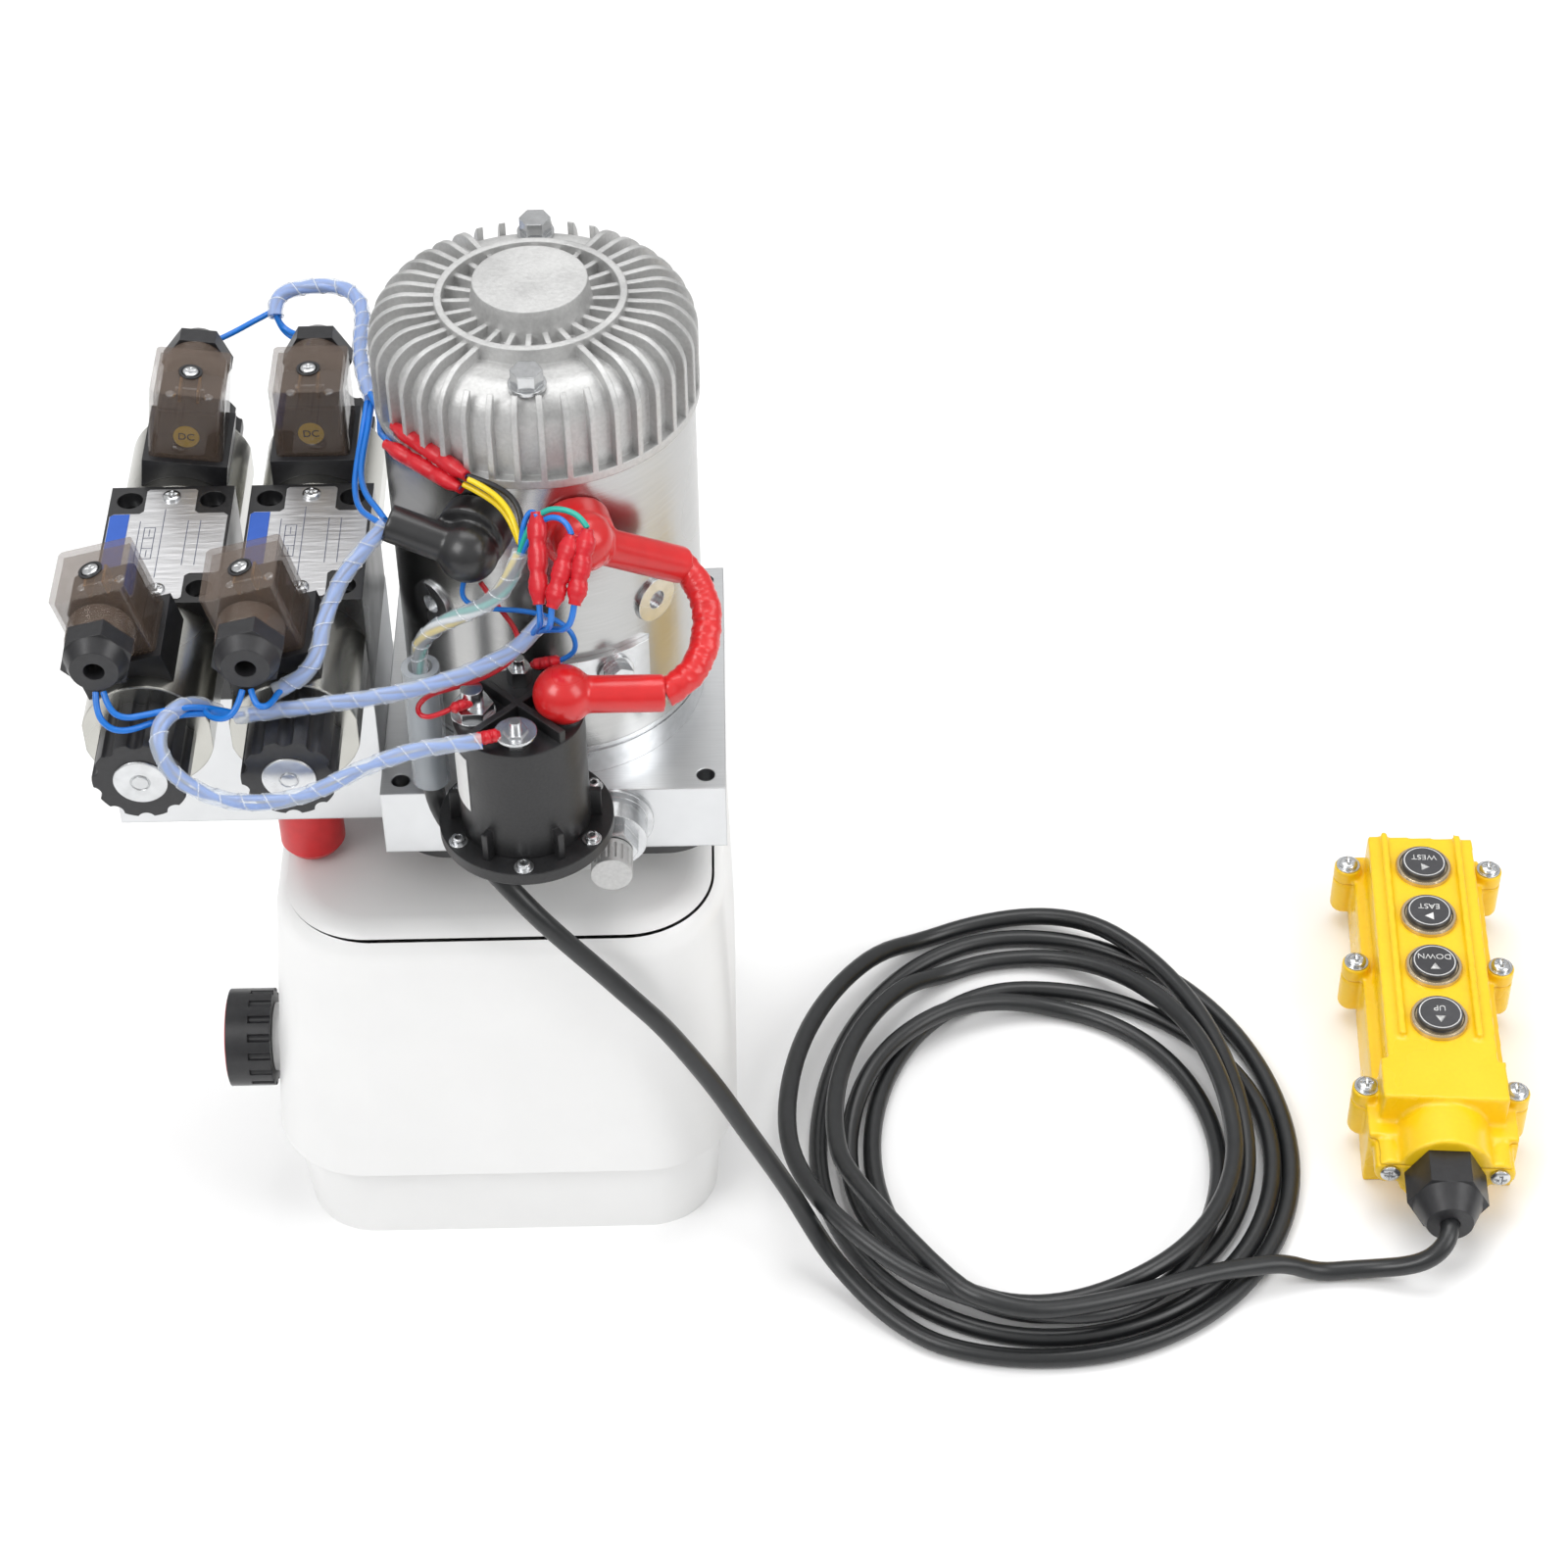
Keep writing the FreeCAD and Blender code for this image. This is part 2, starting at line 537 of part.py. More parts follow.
def make_motor_case():
    flange = cyl("flange_disc", "motor_radius", "flange_height", (0, 0, "block_top"))
    seat = cyl("flange_seat", "bearing_radius", "bearing_width", (0, 0, "block_top"))
    hole = cyl("flange_hole", "shaft_radius + 2", "flange_height", (0, 0, "block_top"))
    groove = ring("flange_groove", "motor_radius + 1", "motor_radius - 0.8", 1.2,
                  (0, 0, "block_top + flange_height - 3"))
    node("motor_flange", cut("flange_bored", flange, seat, hole, groove))
    bottom = "block_top + flange_height"
    tube_height = "motor_height - flange_height"
    tools = []
    screws = []
    for angle in POLE_ANGLES:
        level = "block_top + pole_height"
        head = radial_cyl("pole_sink", 9, "motor_radius - 1.5", "motor_radius + 4", angle, level)
        hole = radial_cyl("pole_hole", 4.5, "motor_bore - 1", "motor_radius", angle, level)
        tools += [head, hole]
        head = radial_cyl("pole_head", 9, "motor_radius - 1.5", "motor_radius + 1.4", angle, level)
        shank = radial_cyl("pole_shank", 4.5, "motor_bore", "motor_radius", angle, level)
        recess = radial_cyl("pole_drive", 3.6, "motor_radius - 1", "motor_radius + 2", angle, level)
        screws.append(cut("pole_screw", fuse("pole_screw_whole", head, shank), recess))
    for angle in TERMINAL_ANGLES.values():
        tools.append(radial_cyl("stud_hole", 7, "motor_bore - 1", "motor_radius + 4", angle,
                                "block_top + terminal_height"))
    case = ring("motor_tube", "motor_radius", "motor_bore", tube_height, (0, 0, bottom))
    node("motor_housing", cut("motor_tube_drilled", case, *tools))
    for sign in (-1, 1):
        at = (0, f"{sign} * through_bolt_circle", "block_top + cap_top")
        washer = cyl("through_washer", 6.8, 1.5, at)
        screws.append(fuse("through_bolt", washer, hexagon("through_head", 10, 7, at)))
    node("motor_screws", group("motor_screw_set", *screws))


def make_end_cap():
    """The cast cap: a cup with ribs that run over its shoulder, and a spoked ring around the middle boss."""
    outer = cyl("cap_envelope", "cap_rim_radius", "cap_top + 4.5 - motor_height", (0, 0, "motor_top"))
    envelope = round_edges("cap_envelope_round", outer, 15,
                           level_at(size("block_top") + size("cap_top") + 4.5))
    inner_radius = "cap_rim_radius - rib_rise"
    core = cyl("cap_core", inner_radius, "cap_top - motor_height", (0, 0, "motor_top"))
    core = round_edges("cap_core_round", core, 12, level_at(size("block_top") + size("cap_top")))
    rim = cyl("cap_rim", "cap_rim_radius", 3.5, (0, 0, "motor_top"))
    ribs = []
    for angle, _, _ in around(0, 40, start=4.5):
        across_flat = abs(math.cos(math.radians(angle))) < 0.5
        start = "cap_rim_radius - 5.5" if across_flat else "cap_ring_radius - 1"
        ribs.append(
            radial_box("cap_rib", start, "cap_rim_radius + 1", "rib_width", "motor_top",
                       "block_top + cap_top + 4.5", angle)
        )
    ribs = common("cap_ribs", fuse("cap_rib_set", *ribs), envelope)
    ridge = ring("cap_ridge", "cap_ring_radius", "cap_ring_radius - 2.6", 8,
                 (0, 0, "block_top + cap_top - 1.5"))
    spokes = []
    for angle, _, _ in around(0, 24):
        spokes.append(
            radial_box("cap_spoke", "cap_disc_radius - 2", "cap_ring_radius - 1", 2,
                       "block_top + cap_top - 1",
                       "block_top + cap_top + 4", angle)
        )
    disc = cone("cap_disc", "cap_disc_radius + 1.5", "cap_disc_radius - 0.5", "cap_disc_top - cap_top",
                (0, 0, "block_top + cap_top"))
    whole = fuse("cap_casting", core, rim, ribs, ridge, disc, *spokes)
    space = cyl("cap_space", "motor_bore", "cap_top - motor_height - cap_wall", (0, 0, "motor_top"))
    seat_top = "block_top + cap_top"
    hub = cyl("cap_hub", "bearing_radius + 5", "bearing_width + 2", (0, 0, f"{seat_top} - bearing_width - 4"))
    seat = cyl("cap_seat", "bearing_radius", "bearing_width + 1", (0, 0, f"{seat_top} - bearing_width - 4"))
    hollow = cut("cap_hollow", whole, space)
    node("motor_end_cap", cut("cap_bored", fuse("cap_with_hub", hollow, hub), seat))


def make_motor_inside():
    low = "block_top"
    high = "block_top + cap_top - bearing_width - 4"
    bearings = []
    for z in (low, high):
        bearings.append(ring("bearing", "bearing_radius", "shaft_radius + running_gap", "bearing_width",
                             (0, 0, z)))
    node("motor_bearings", group("bearing_pair", *bearings))
    middle = "block_top + pole_height"
    start = f"{middle} - armature_length / 2"
    outer = "motor_bore"
    inner = "armature_radius + pole_gap"
    poles = ring("pole_ring", outer, inner, "armature_length", (0, 0, start))
    gaps = [
        box("pole_gap_x", ("3 * motor_radius", 26, "armature_length"), ("-1.5 * motor_radius", -13, start)),
        box("pole_gap_y", (26, "3 * motor_radius", "armature_length"), (-13, "-1.5 * motor_radius", start)),
    ]
    node("field_poles", cut("poles_parted", poles, *gaps))
    core = cyl("armature_core", "armature_radius", "armature_length", (0, 0, start))
    slots = []
    for angle, _, _ in around(0, 12):
        slots.append(radial_box("armature_slot", "armature_radius - 9", "armature_radius + 1", 3, start,
                                f"{start} + armature_length", angle))
    slotted = cut("armature_slotted", core, *slots)
    ends = cyl("armature_ends", "armature_radius - 10", "armature_length + 12", (0, 0, f"{start} - 6"))
    commutator = cyl("commutator", "commutator_radius", "commutator_length",
                     (0, 0, f"{start} + armature_length + 6"))
    bore = cyl("armature_bore", "shaft_radius", "armature_length + 60", (0, 0, f"{start} - 10"))
    node("armature", cut("armature_bored", fuse("armature_whole", slotted, ends, commutator), bore))
    top = "block_top + cap_top - 5"
    node("motor_shaft", cyl("shaft", "shaft_radius", f"({top}) - relief_z - 0.5", (0, 0, "relief_z + 0.5")))
    at = (0, 0, "relief_z - coupling_length / 2")
    node("shaft_coupling", ring("coupling", "coupling_radius", "shaft_radius", "coupling_length", at))


def make_brush_gear():
    bottom = "block_top + pole_height + armature_length / 2 + 8"
    plate = ring("brush_plate", "motor_bore", "commutator_radius + 4", 3, (0, 0, bottom))
    pieces = [plate]
    for angle in (0, 90, 180, 270):
        pieces.append(radial_box("brush", "commutator_radius + 0.4", "commutator_radius + 16", 11,
                                 f"{bottom} + 3", f"{bottom} + 14", angle))
    for angle in TERMINAL_ANGLES.values():
        level = "block_top + terminal_height"
        pieces.append(radial_box("stud_post", "motor_bore - 10", "motor_bore - 1.5", 12, f"{bottom} + 3",
                                 f"{level} + 6", angle))
        pieces.append(radial_cyl("stud", "stud_radius", "motor_bore - 4", "motor_radius + 9", angle, level))
    node("brush_gear", fuse("brush_gear_whole", *pieces))


# ---------------------------------------------------------------- directional valves


def make_valve_manifold():
    spans = ("manifold_length", "manifold_depth", "manifold_height")
    at = ("-block_half - manifold_length", "manifold_front", "manifold_bottom")
    body = box("manifold_body", spans, at)
    tools = []
    step = 0
    for x in ("valve_right_x", "valve_left_x"):
        for lift, shift in ((0.72, "port_stagger"), (0.28, "-port_stagger")):
            at = (f"{x} + {shift}", "manifold_front + manifold_depth", f"manifold_bottom + {lift} * manifold_height")
            tools.append(cyl("work_port", "port_radius", f"port_depth + {step} * port_step", at, "-Y"))
            step += 1
    at = ("plug_x", "plug_y", "manifold_bottom")
    tools.append(cyl("bottom_port", "port_radius", "port_depth", at))
    node("valve_manifold", cut("manifold_drilled", body, *tools))
    head = cyl("plug_head", "plug_radius", "plug_length - 3",
               ("plug_x", "plug_y", "manifold_bottom - plug_length + 3"))
    foot = cone("plug_foot", "plug_radius - 2", "plug_radius", 3,
                ("plug_x", "plug_y", "manifold_bottom - plug_length"))
    stem = cyl("plug_stem", "port_radius", "port_depth - 2", at)
    node("port_plug", fuse("plug_whole", head, foot, stem))


def make_valve(side, x):
    """One valve body with its spool; the plungers and override pins ride on the spool's ends."""
    at = (f"{x} - valve_width / 2", "valve_front", "manifold_top")
    body = box(f"{side}_body", ("valve_width", "valve_length", "valve_height"), at)
    tools = [cyl("spool_bore", "spool_radius", "valve_length", (x, "valve_front", "valve_axis_z"), "Y")]
    bolts = []
    for i in (-1, 1):
        for j in (-1, 1):
            at = (f"{x} + {i} * valve_bolt_x", f"valve_middle + {j} * valve_bolt_y", "manifold_top")
            tools.append(cyl("bolt_clearance", "valve_bolt_radius + 0.3", "valve_height", at))
            above = at[:2] + ("manifold_top + valve_height - 12",)
            tools.append(cyl("bolt_sink", "valve_hole_radius", 12, above))
            shank = cyl("valve_bolt_shank", "valve_bolt_radius", "valve_height - 12", at)
            head = cyl("valve_bolt_head", "valve_hole_radius - 0.4", 5, above)
            bolts.append(fuse("valve_bolt", shank, head))
    node(f"valve_body_{side}", cut(f"{side}_body_bored", body, *tools))
    middle = (x, "valve_middle", "valve_axis_z")

    def turned_piece(name, radius, start, end):
        return cyl(name, radius, f"({end}) - ({start})", (middle[0], f"{middle[1]} + ({start})", middle[2]),
                   "Y")

    half = "valve_length / 2"
    pieces = [turned_piece("spool_core", 5, f"-{half} - 6", f"{half} + 6")]
    for start, end in (("-28", "-17"), ("-6", "6"), ("17", "28")):
        pieces.append(turned_piece("spool_land", "spool_radius - running_gap", start, end))
    for sign in (-1, 1):
        spans = (("plunger", "plunger_radius", f"{half} + 5", "spool_reach - 19"),
                 ("pin", "pin_radius", "spool_reach - 20", "spool_reach"))
        for name, radius, near, far in spans:
            ends = (near, far) if sign > 0 else (f"-({far})", f"-({near})")
            pieces.append(turned_piece(name, radius, *ends))
    node(f"spool_{side}", fuse(f"{side}_spool_whole", *pieces))
    return bolts


def solenoid(x, sign):
    """Tube, coil and end nut on one end of a valve.  They are made along +Y from the valve's face."""
    turn = Rotation() if sign > 0 else Rotation(Vector(0, 0, 1), 180)
    tube_length = "coil_length + nut_length - 5"
    sleeve = ring("core_tube", "tube_radius", "spool_radius", f"{tube_length} - 8", axis="Y")
    plug = ring("core_plug", "tube_radius", "pin_radius + 0.4", 8, (0, f"{tube_length} - 8", 0), "Y")
    shell = cyl("coil_shell", "coil_radius", "coil_length", axis="Y")
    flats = box("coil_flats", ("2 * coil_radius - 1.5", "coil_length", "2 * coil_radius"),
                ("0.75 - coil_radius", 0, "-coil_radius"))
    coil = cut("coil", common("coil_flatted", shell, flats),
               cyl("coil_bore", "tube_radius", "coil_length", axis="Y"))
    nut = cyl("nut_barrel", "nut_radius", "nut_length", (0, "coil_length", 0), "Y")
    tools = [
        cyl("nut_bore", "tube_radius", "nut_length - 5", (0, "coil_length", 0), "Y"),
        cyl("nut_hole", "pin_radius + 0.4", "nut_length", (0, "coil_length", 0), "Y"),
    ]
    for _, across, up in around("nut_radius + 1.6", 10, start=18):
        tools.append(cyl("nut_scallop", 3.4, "nut_length", (across, "coil_length", up), "Y"))
    nut = cut("coil_nut", nut, *tools)
    face = "valve_back" if sign > 0 else "valve_front"
    at = (x, face, "valve_axis_z")
    tube_whole = fuse("core_tube_whole", sleeve, plug)
    return [turned("solenoid_piece", piece, turn, at) for piece in (tube_whole, coil, nut)]


def connector(x, sign, lean):
    """Plug on a coil: moulded foot, clear cover and gland.  Made about the coil's axis, cable towards +Y."""
    foot = cut("plug_foot_body", slab("plug_foot_block", "boss_width / 2", -17, 17, 15,
                                      "coil_radius + boss_height"),
               cyl("plug_foot_saddle", "coil_radius", 60, (0, -30, 0), "Y"))
    top = "coil_radius + boss_height"
    inner = slab("plug_inner", "cover_width / 2 - cover_wall - 1", "-cover_length / 2 + 3",
                 "cover_length / 2 - 3",
                 top, f"{top} + inner_height")
    cover = slab("cover_outer", "cover_width / 2", "-cover_length / 2", "cover_length / 2", f"{top}",
                 f"{top} + cover_height")
    cover = round_edges("cover_round", cover, 2, upright)
    space = slab("cover_space", "cover_width / 2 - cover_wall", "-cover_length / 2 + cover_wall",
                 "cover_length / 2 - cover_wall", top, f"{top} + cover_height - cover_wall")
    neck_z = f"{top} + cover_height / 2"
    neck = cyl("cover_neck", "gland_radius", "neck_length", (0, "cover_length / 2", neck_z), "Y")
    bore = cyl("cover_neck_bore", "gland_radius - 3", "neck_length + 3",
               (0, "cover_length / 2 - 2.5", neck_z), "Y")
    cover = cut("cover_hollow", fuse("cover_whole", cover, neck), space, bore)
    end = (0, "cover_length / 2 + neck_length", neck_z)
    nut = hexagon("gland_nut", "2 * gland_radius", "gland_length * 0.6", end, "Y")
    dome = cone("gland_dome", "gland_radius", "gland_radius - 3", "gland_length * 0.4",
                (0, "cover_length / 2 + neck_length + gland_length * 0.6", neck_z), "Y")
    gland = cut("gland", fuse("gland_whole", nut, dome), cyl("gland_bore", 3.7, "gland_length", end, "Y"))
    turn = Rotation(Vector(0, 1, 0), lean)
    if sign < 0:
        turn = turn.multiply(Rotation(Vector(0, 0, 1), 180))
    face = "valve_back + coil_length / 2" if sign > 0 else "valve_front - coil_length / 2"
    at = (x, face, "valve_axis_z")
    pieces = (fuse("plug_foot_whole", foot, inner), cover, gland)
    return [turned("connector_piece", piece, turn, at) for piece in pieces]


LEANS = {("left", -1): -14.5, ("right", -1): -14.5, ("left", 1): 8.0, ("right", 1): 0.0}


def make_valves():
    make_valve_manifold()
    places = {"left": "valve_left_x", "right": "valve_right_x"}
    bolts = []
    for side, x in places.items():
        bolts += make_valve(side, x)
    node("valve_bolts", group("valve_bolt_set", *bolts))
    solenoids = []
    connectors = []
    for (side, sign), lean in LEANS.items():
        solenoids.append(solenoid(places[side], sign))
        connectors.append(connector(places[side], sign, lean))
    for name, pieces in zip(("core_tubes", "solenoid_coils", "coil_nuts"), zip(*solenoids)):
        node(name, group(f"{name}_set", *pieces))
    for name, pieces in zip(("connector_bases", "connector_covers", "connector_glands"), zip(*connectors)):
        node(name, group(f"{name}_set", *pieces))


# ---------------------------------------------------------------- relay


def relay_point(x, y, z):
    return (f"relay_x + ({x})", f"relay_y + ({y})", z)


def make_relay():
    top_of_flange = "relay_base_z + relay_flange_height"
    flange = cyl("relay_flange_disc", "relay_flange", "relay_flange_height - 2",
                 relay_point(0, 0, "relay_base_z + 2"))
    lower = cyl("relay_bottom", "relay_flange - 4", 2, relay_point(0, 0, "relay_base_z"))
    hollow = cyl("relay_flange_bore", "relay_plunger_radius + 0.4", 20, relay_point(0, 0, "relay_base_z + 3"))
    screws = []
    for _, x, y in around("relay_flange - 4", 6, start=30):
        screws.append(cyl("relay_screw", 2.2, 1.6, relay_point(x, y, top_of_flange)))
    base = cut("relay_base_bored", fuse("relay_base_whole", flange, lower), hollow)
    node("relay_base", group("relay_base_set", base, *screws))
    body = cyl("relay_barrel", "relay_radius", "relay_height", relay_point(0, 0, top_of_flange))
    pieces = [body]
    for angle in range(0, 360, 60):
        rib = radial_box("relay_rib", "relay_radius - 2", "relay_radius + 4", 2.4, top_of_flange,
                         f"{top_of_flange} + 12", angle)
        pieces.append(turned("relay_rib_placed", rib, Rotation(), relay_point(0, 0, 0)))
    for angle in (45, 135, 225, 315):
        wall = radial_box("relay_wall", 0, "relay_radius - 0.5", 2.6, "relay_top", "relay_top + 5", angle)
        pieces.append(turned("relay_wall_placed", wall, Rotation(), relay_point(0, 0, 0)))
    space = cyl("relay_space", "relay_plunger_radius + 0.4", "relay_height - 12",
                relay_point(0, 0, top_of_flange))
    node("relay_body", cut("relay_bored", fuse("relay_whole", *pieces), space))
    length = "relay_height - 14"
    node("relay_plunger", cyl("relay_core", "relay_plunger_radius", length,
                              relay_point(0, 0, "relay_base_z + 6")))
    studs = []
    for sign in (-1, 1):
        at = relay_point(f"{sign} * stud_spread", 0, "relay_top")
        studs.append(fuse("relay_stud", cyl("relay_stud_rod", "stud_radius", "stud_height", at),
                          hexagon("relay_stud_nut", 13, 5, at), cyl("relay_stud_washer", 8.2, 1.2, at)))
        at = relay_point(0, f"{sign} * 17", "relay_top")
        studs.append(fuse("small_stud", cyl("small_stud_rod", 2.2, 11, at),
                          hexagon("small_stud_nut", 8, 7, at)))
    node("relay_terminals", group("relay_terminal_set", *studs))


def make_relay_bracket():
    """A leaf that lies on the motor's case, an arm to the relay's back, and the bolt that holds the leaf."""
    bottom = "block_top + 38"
    leaf = common(
        "bracket_leaf",
        ring("bracket_band", "motor_radius + 2.5", "motor_radius", 20, (0, 0, bottom)),
        box("bracket_sector", (36, 30, 20), (2, "-motor_radius - 3", bottom)),
    )
    arm = box("bracket_arm_block", (3, "-relay_y - motor_radius", 20), (2, "relay_y", bottom))
    arm = cut("bracket_arm", arm, cyl("bracket_arm_relay", "relay_radius", 200,
                                      relay_point(0, 0, "block_top")))
    level = "block_top + 50"
    shank = radial_cyl("bracket_bolt_rod", 3, "motor_radius", "motor_radius + 4", BRACKET_BOLT_ANGLE, level)
    washer = radial_cyl("bracket_washer", 7, "motor_radius + 2.3", "motor_radius + 4", BRACKET_BOLT_ANGLE,
                        level)
    turn = Rotation(Vector(0, 0, 1), BRACKET_BOLT_ANGLE).multiply(AXES["X"])
    c = round(math.cos(math.radians(BRACKET_BOLT_ANGLE)), 6)
    s = round(math.sin(math.radians(BRACKET_BOLT_ANGLE)), 6)
    at = (f"(motor_radius + 4) * ({c})", f"(motor_radius + 4) * ({s})", level)
    head = place(hexagon("bracket_head", 10, 5), at, turn)
    node("relay_bracket", fuse("bracket_whole", leaf, arm, shank, washer, head))


# ---------------------------------------------------------------- pendant


def on_pendant(name, obj):
    """Put a piece that was made in the pendant's own frame where the pendant lies."""
    turn = Rotation(Vector(0, 0, 1), size("pendant_turn"))
    return node(name, turned(f"{name}_placed", obj, turn, ("pendant_x", "pendant_y", 0)))


LUG_ROWS = (57.5, -2.7, -75.0)
BUTTON_NAMES = ("up", "down", "east", "west")


def button_row(step):
    return f"({step} - 1.5) * button_pitch"


def nose(name, bottom, top):
    """A level slice of the round end where the cable comes in, with a lobe for a screw on each side."""
    length = "pendant_end - nose_end + 9"
    round_pieces = [cyl(f"{name}_barrel", "nose_radius", length, (0, "pendant_end + 9", "pendant_gland_z"),
                        "-Y")]
    for x in (-1, 1):
        at = (f"{x} * lobe_x", "pendant_end + 9", "pendant_gland_z")
        round_pieces.append(cyl(f"{name}_lobe", "lobe_radius", length, at, "-Y"))
    slice_box = slab(f"{name}_slice", "2 * nose_radius", "nose_end - 1", "pendant_end + 10", bottom, top)
    return common(name, fuse(f"{name}_round", *round_pieces), slice_box)


def gland_entry(name):
    """The hole that the cable's wires take through the round end."""
    at = (0, "pendant_end + 12", "pendant_gland_z")
    return cyl(name, "pendant_gland_radius - 5", "pendant_end - nose_end + 14", at, "-Y")


def make_pendant():
    split = "pendant_base_height"
    wide = "pendant_half + 5"
    wall = "pendant_wall"
    outer = [
        slab("base_upper", wide, "pendant_neck", "pendant_top + 2", 0, split),
        slab("base_lower", "bulge_half", "pendant_end", "pendant_neck", 0, split),
        nose("base_nose", 0, split),
    ]
    skirt_top = f"{split} + 3"
    cover = [
        slab("cover_upper", "pendant_half", "pendant_neck", "pendant_top", split, "pendant_height"),
        slab("cover_bulge", "bulge_half - 5", "pendant_end + 8", "pendant_neck", split, "pendant_height"),
        slab("cover_skirt", wide, "pendant_neck", "pendant_top + 2", split, skirt_top),
        slab("cover_foot", "bulge_half", "pendant_end", "pendant_neck", split, skirt_top),
        nose("cover_nose", split, "pendant_height"),
    ]
    screws = []
    for x in (-1, 1):
        spans = (3, "pendant_top - pendant_neck - 12", 2.5)
        cover.append(box("cover_rail", spans, (f"{x} * 16 - 1.5", "pendant_neck + 12", "pendant_height")))
        for y in LUG_ROWS:
            place_x = f"{x} * lug_x"
            outer.append(cyl("base_lug", "lug_radius", f"{split} - lug_foot", (place_x, y, "lug_foot")))
            cover.append(cyl("cover_lug", "lug_radius", f"lug_height - {split}", (place_x, y, split)))
            screws.append(cyl("lug_screw", "screw_radius", 2.4, (place_x, y, "lug_height")))
        screws.append(cyl("end_screw", "screw_radius", 3, (f"{x} * lobe_x", "nose_end", "pendant_gland_z"),
                          "-Y"))
    spaces = [
        slab("base_space", f"{wide} - {wall}", f"pendant_neck - {wall} - 1", f"pendant_top + 2 - {wall}",
             wall, split),
        slab("bulge_space", f"bulge_half - {wall}", f"pendant_end + {wall}", f"pendant_neck - {wall}", wall,
             split),
        gland_entry("base_entry"),
    ]
    on_pendant("pendant_base", cut("base_hollow", fuse("base_outer", *outer), *spaces))
    ceiling = f"pendant_height - {wall}"
    spaces = [
        slab("cover_room", f"pendant_half - {wall}", f"pendant_neck - {wall} - 1", f"pendant_top - {wall}",
             split, ceiling),
        slab("bulge_room", f"bulge_half - 5 - {wall}", f"pendant_end + 8 + {wall}",
             f"pendant_neck - {wall}", split,
             ceiling),
        gland_entry("cover_entry"),
    ]
    for step in range(4):
        spaces.append(cyl("button_hole", "button_radius + button_gap", 12,
                          (0, button_row(step), "pendant_height - 6")))
    on_pendant("pendant_cover", cut("cover_holed", fuse("cover_body", *cover), *spaces))
    on_pendant("pendant_screws", group("pendant_screw_set", *screws))

    blocks = []
    for step, name in enumerate(BUTTON_NAMES):
        bottom = f"{ceiling} - 10"
        at = (0, button_row(step), bottom)
        face = cyl("button_face", "button_radius", f"{wall} + 10 + button_rise", at)
        rim = cyl("button_rim", "button_radius + 2", 2, at)
        on_pendant(f"button_{name}", fuse(f"button_{name}_whole", face, rim))
        height = f"pendant_height - 2 * {wall} - 14 - button_travel"
        blocks.append(box("contact_block", (24, 24, height), (-12, f"{button_row(step)} - 12", wall)))
    on_pendant("contact_blocks", group("contact_block_set", *blocks))

    start = (0, "nose_end", "pendant_gland_z")
    length = "pendant_gland_length"
    nut = hexagon("pendant_nut", "2 * pendant_gland_radius - 2", f"{length} * 0.6", start, "-Y")
    at = (0, f"nose_end - {length} * 0.6", "pendant_gland_z")
    dome = cone("pendant_dome", "pendant_gland_radius - 1", "pendant_gland_radius - 6", f"{length} * 0.4",
                at, "-Y")
    bore = cyl("pendant_gland_bore", "cable_radius + 0.1", length, start, "-Y")
    on_pendant("pendant_gland", cut("pendant_gland_bored", fuse("pendant_gland_whole", nut, dome), bore))


# ---------------------------------------------------------------- power cable and terminal boots

POWER_CABLE = ((51.5, -53.0, 326.5), (55.9, -57.0, 323.5), (58.9, -62.0, 319.6), (60.2, -69.0, 314.6),
               (59.4, -76.0, 309.9), (56.4, -83.0, 305.5), (51.4, -88.5, 301.8), (44.5, -91.5, 299.5))
RED_BALLS = ((17.4, -68.5, 351.0), (8.5, -93.5, 301.5))
BLACK_BALL = (-23.5, -66.5, 345.5)
BLACK_END = (-51.5, -60.0, 354.5)


def stick(name, radius, start, end):
    """A round rod between two points, placed by its own Placement."""
    start = Vector(*start)
    along = Vector(*end) - start
    rod = cyl(name, radius, along.Length)
    rod.setExpression(".Placement.Base.x", None)
    rod.setExpression(".Placement.Base.y", None)
    rod.setExpression(".Placement.Base.z", None)
    rod.Placement = FreeCAD.Placement(start, Rotation(Vector(0, 0, 1), along))
    return rod


def boot(name, centre, end):
    """A rubber boot over a terminal: a ball, and a sleeve towards its cable."""
    return [ball(f"{name}_ball", "boot_radius", centre), stick(f"{name}_sleeve", "boot_radius * 0.62",
                                                               centre, end)]


def motor_boot(name, centre, end, angle):
    """A boot with a skirt that sits on the motor's case around the stud."""
    level = "block_top + terminal_height"
    skirt = radial_cyl(f"{name}_skirt", "boot_radius + 2", "motor_radius - 4", "motor_radius + 9", angle,
                       level)
    case = cyl(f"{name}_case", "motor_radius", "motor_height", (0, 0, "block_top"))
    stud = radial_cyl(f"{name}_stud", "stud_radius", "motor_radius - 4", "motor_radius + 9", angle, level)
    return cut(f"{name}_bored", fuse(f"{name}_whole", *boot(name, centre, end), skirt), case, stud)


def make_power():
    built = {obj.Label: obj for obj in nodes}
    black = motor_boot("black_boot", BLACK_BALL, BLACK_END, TERMINAL_ANGLES["negative"])
    upper = motor_boot("red_boot", RED_BALLS[0], POWER_CABLE[0], TERMINAL_ANGLES["positive"])
    lower = fuse("relay_boot", *boot("relay", RED_BALLS[1], POWER_CABLE[-1]))
    lower = cut("relay_boot_bored", lower, built["relay_body"], built["relay_terminals"])
    red = group("red_boots", upper, lower)
    cable = tube("power_route", size("power_cable_radius"), POWER_CABLE)
    node("terminal_boot_black", black)
    node("terminal_boots_red", red)
    node("power_cable", cut("power_cable_to_boots", cable, upper, lower))
    return black


# ---------------------------------------------------------------- pendant cable

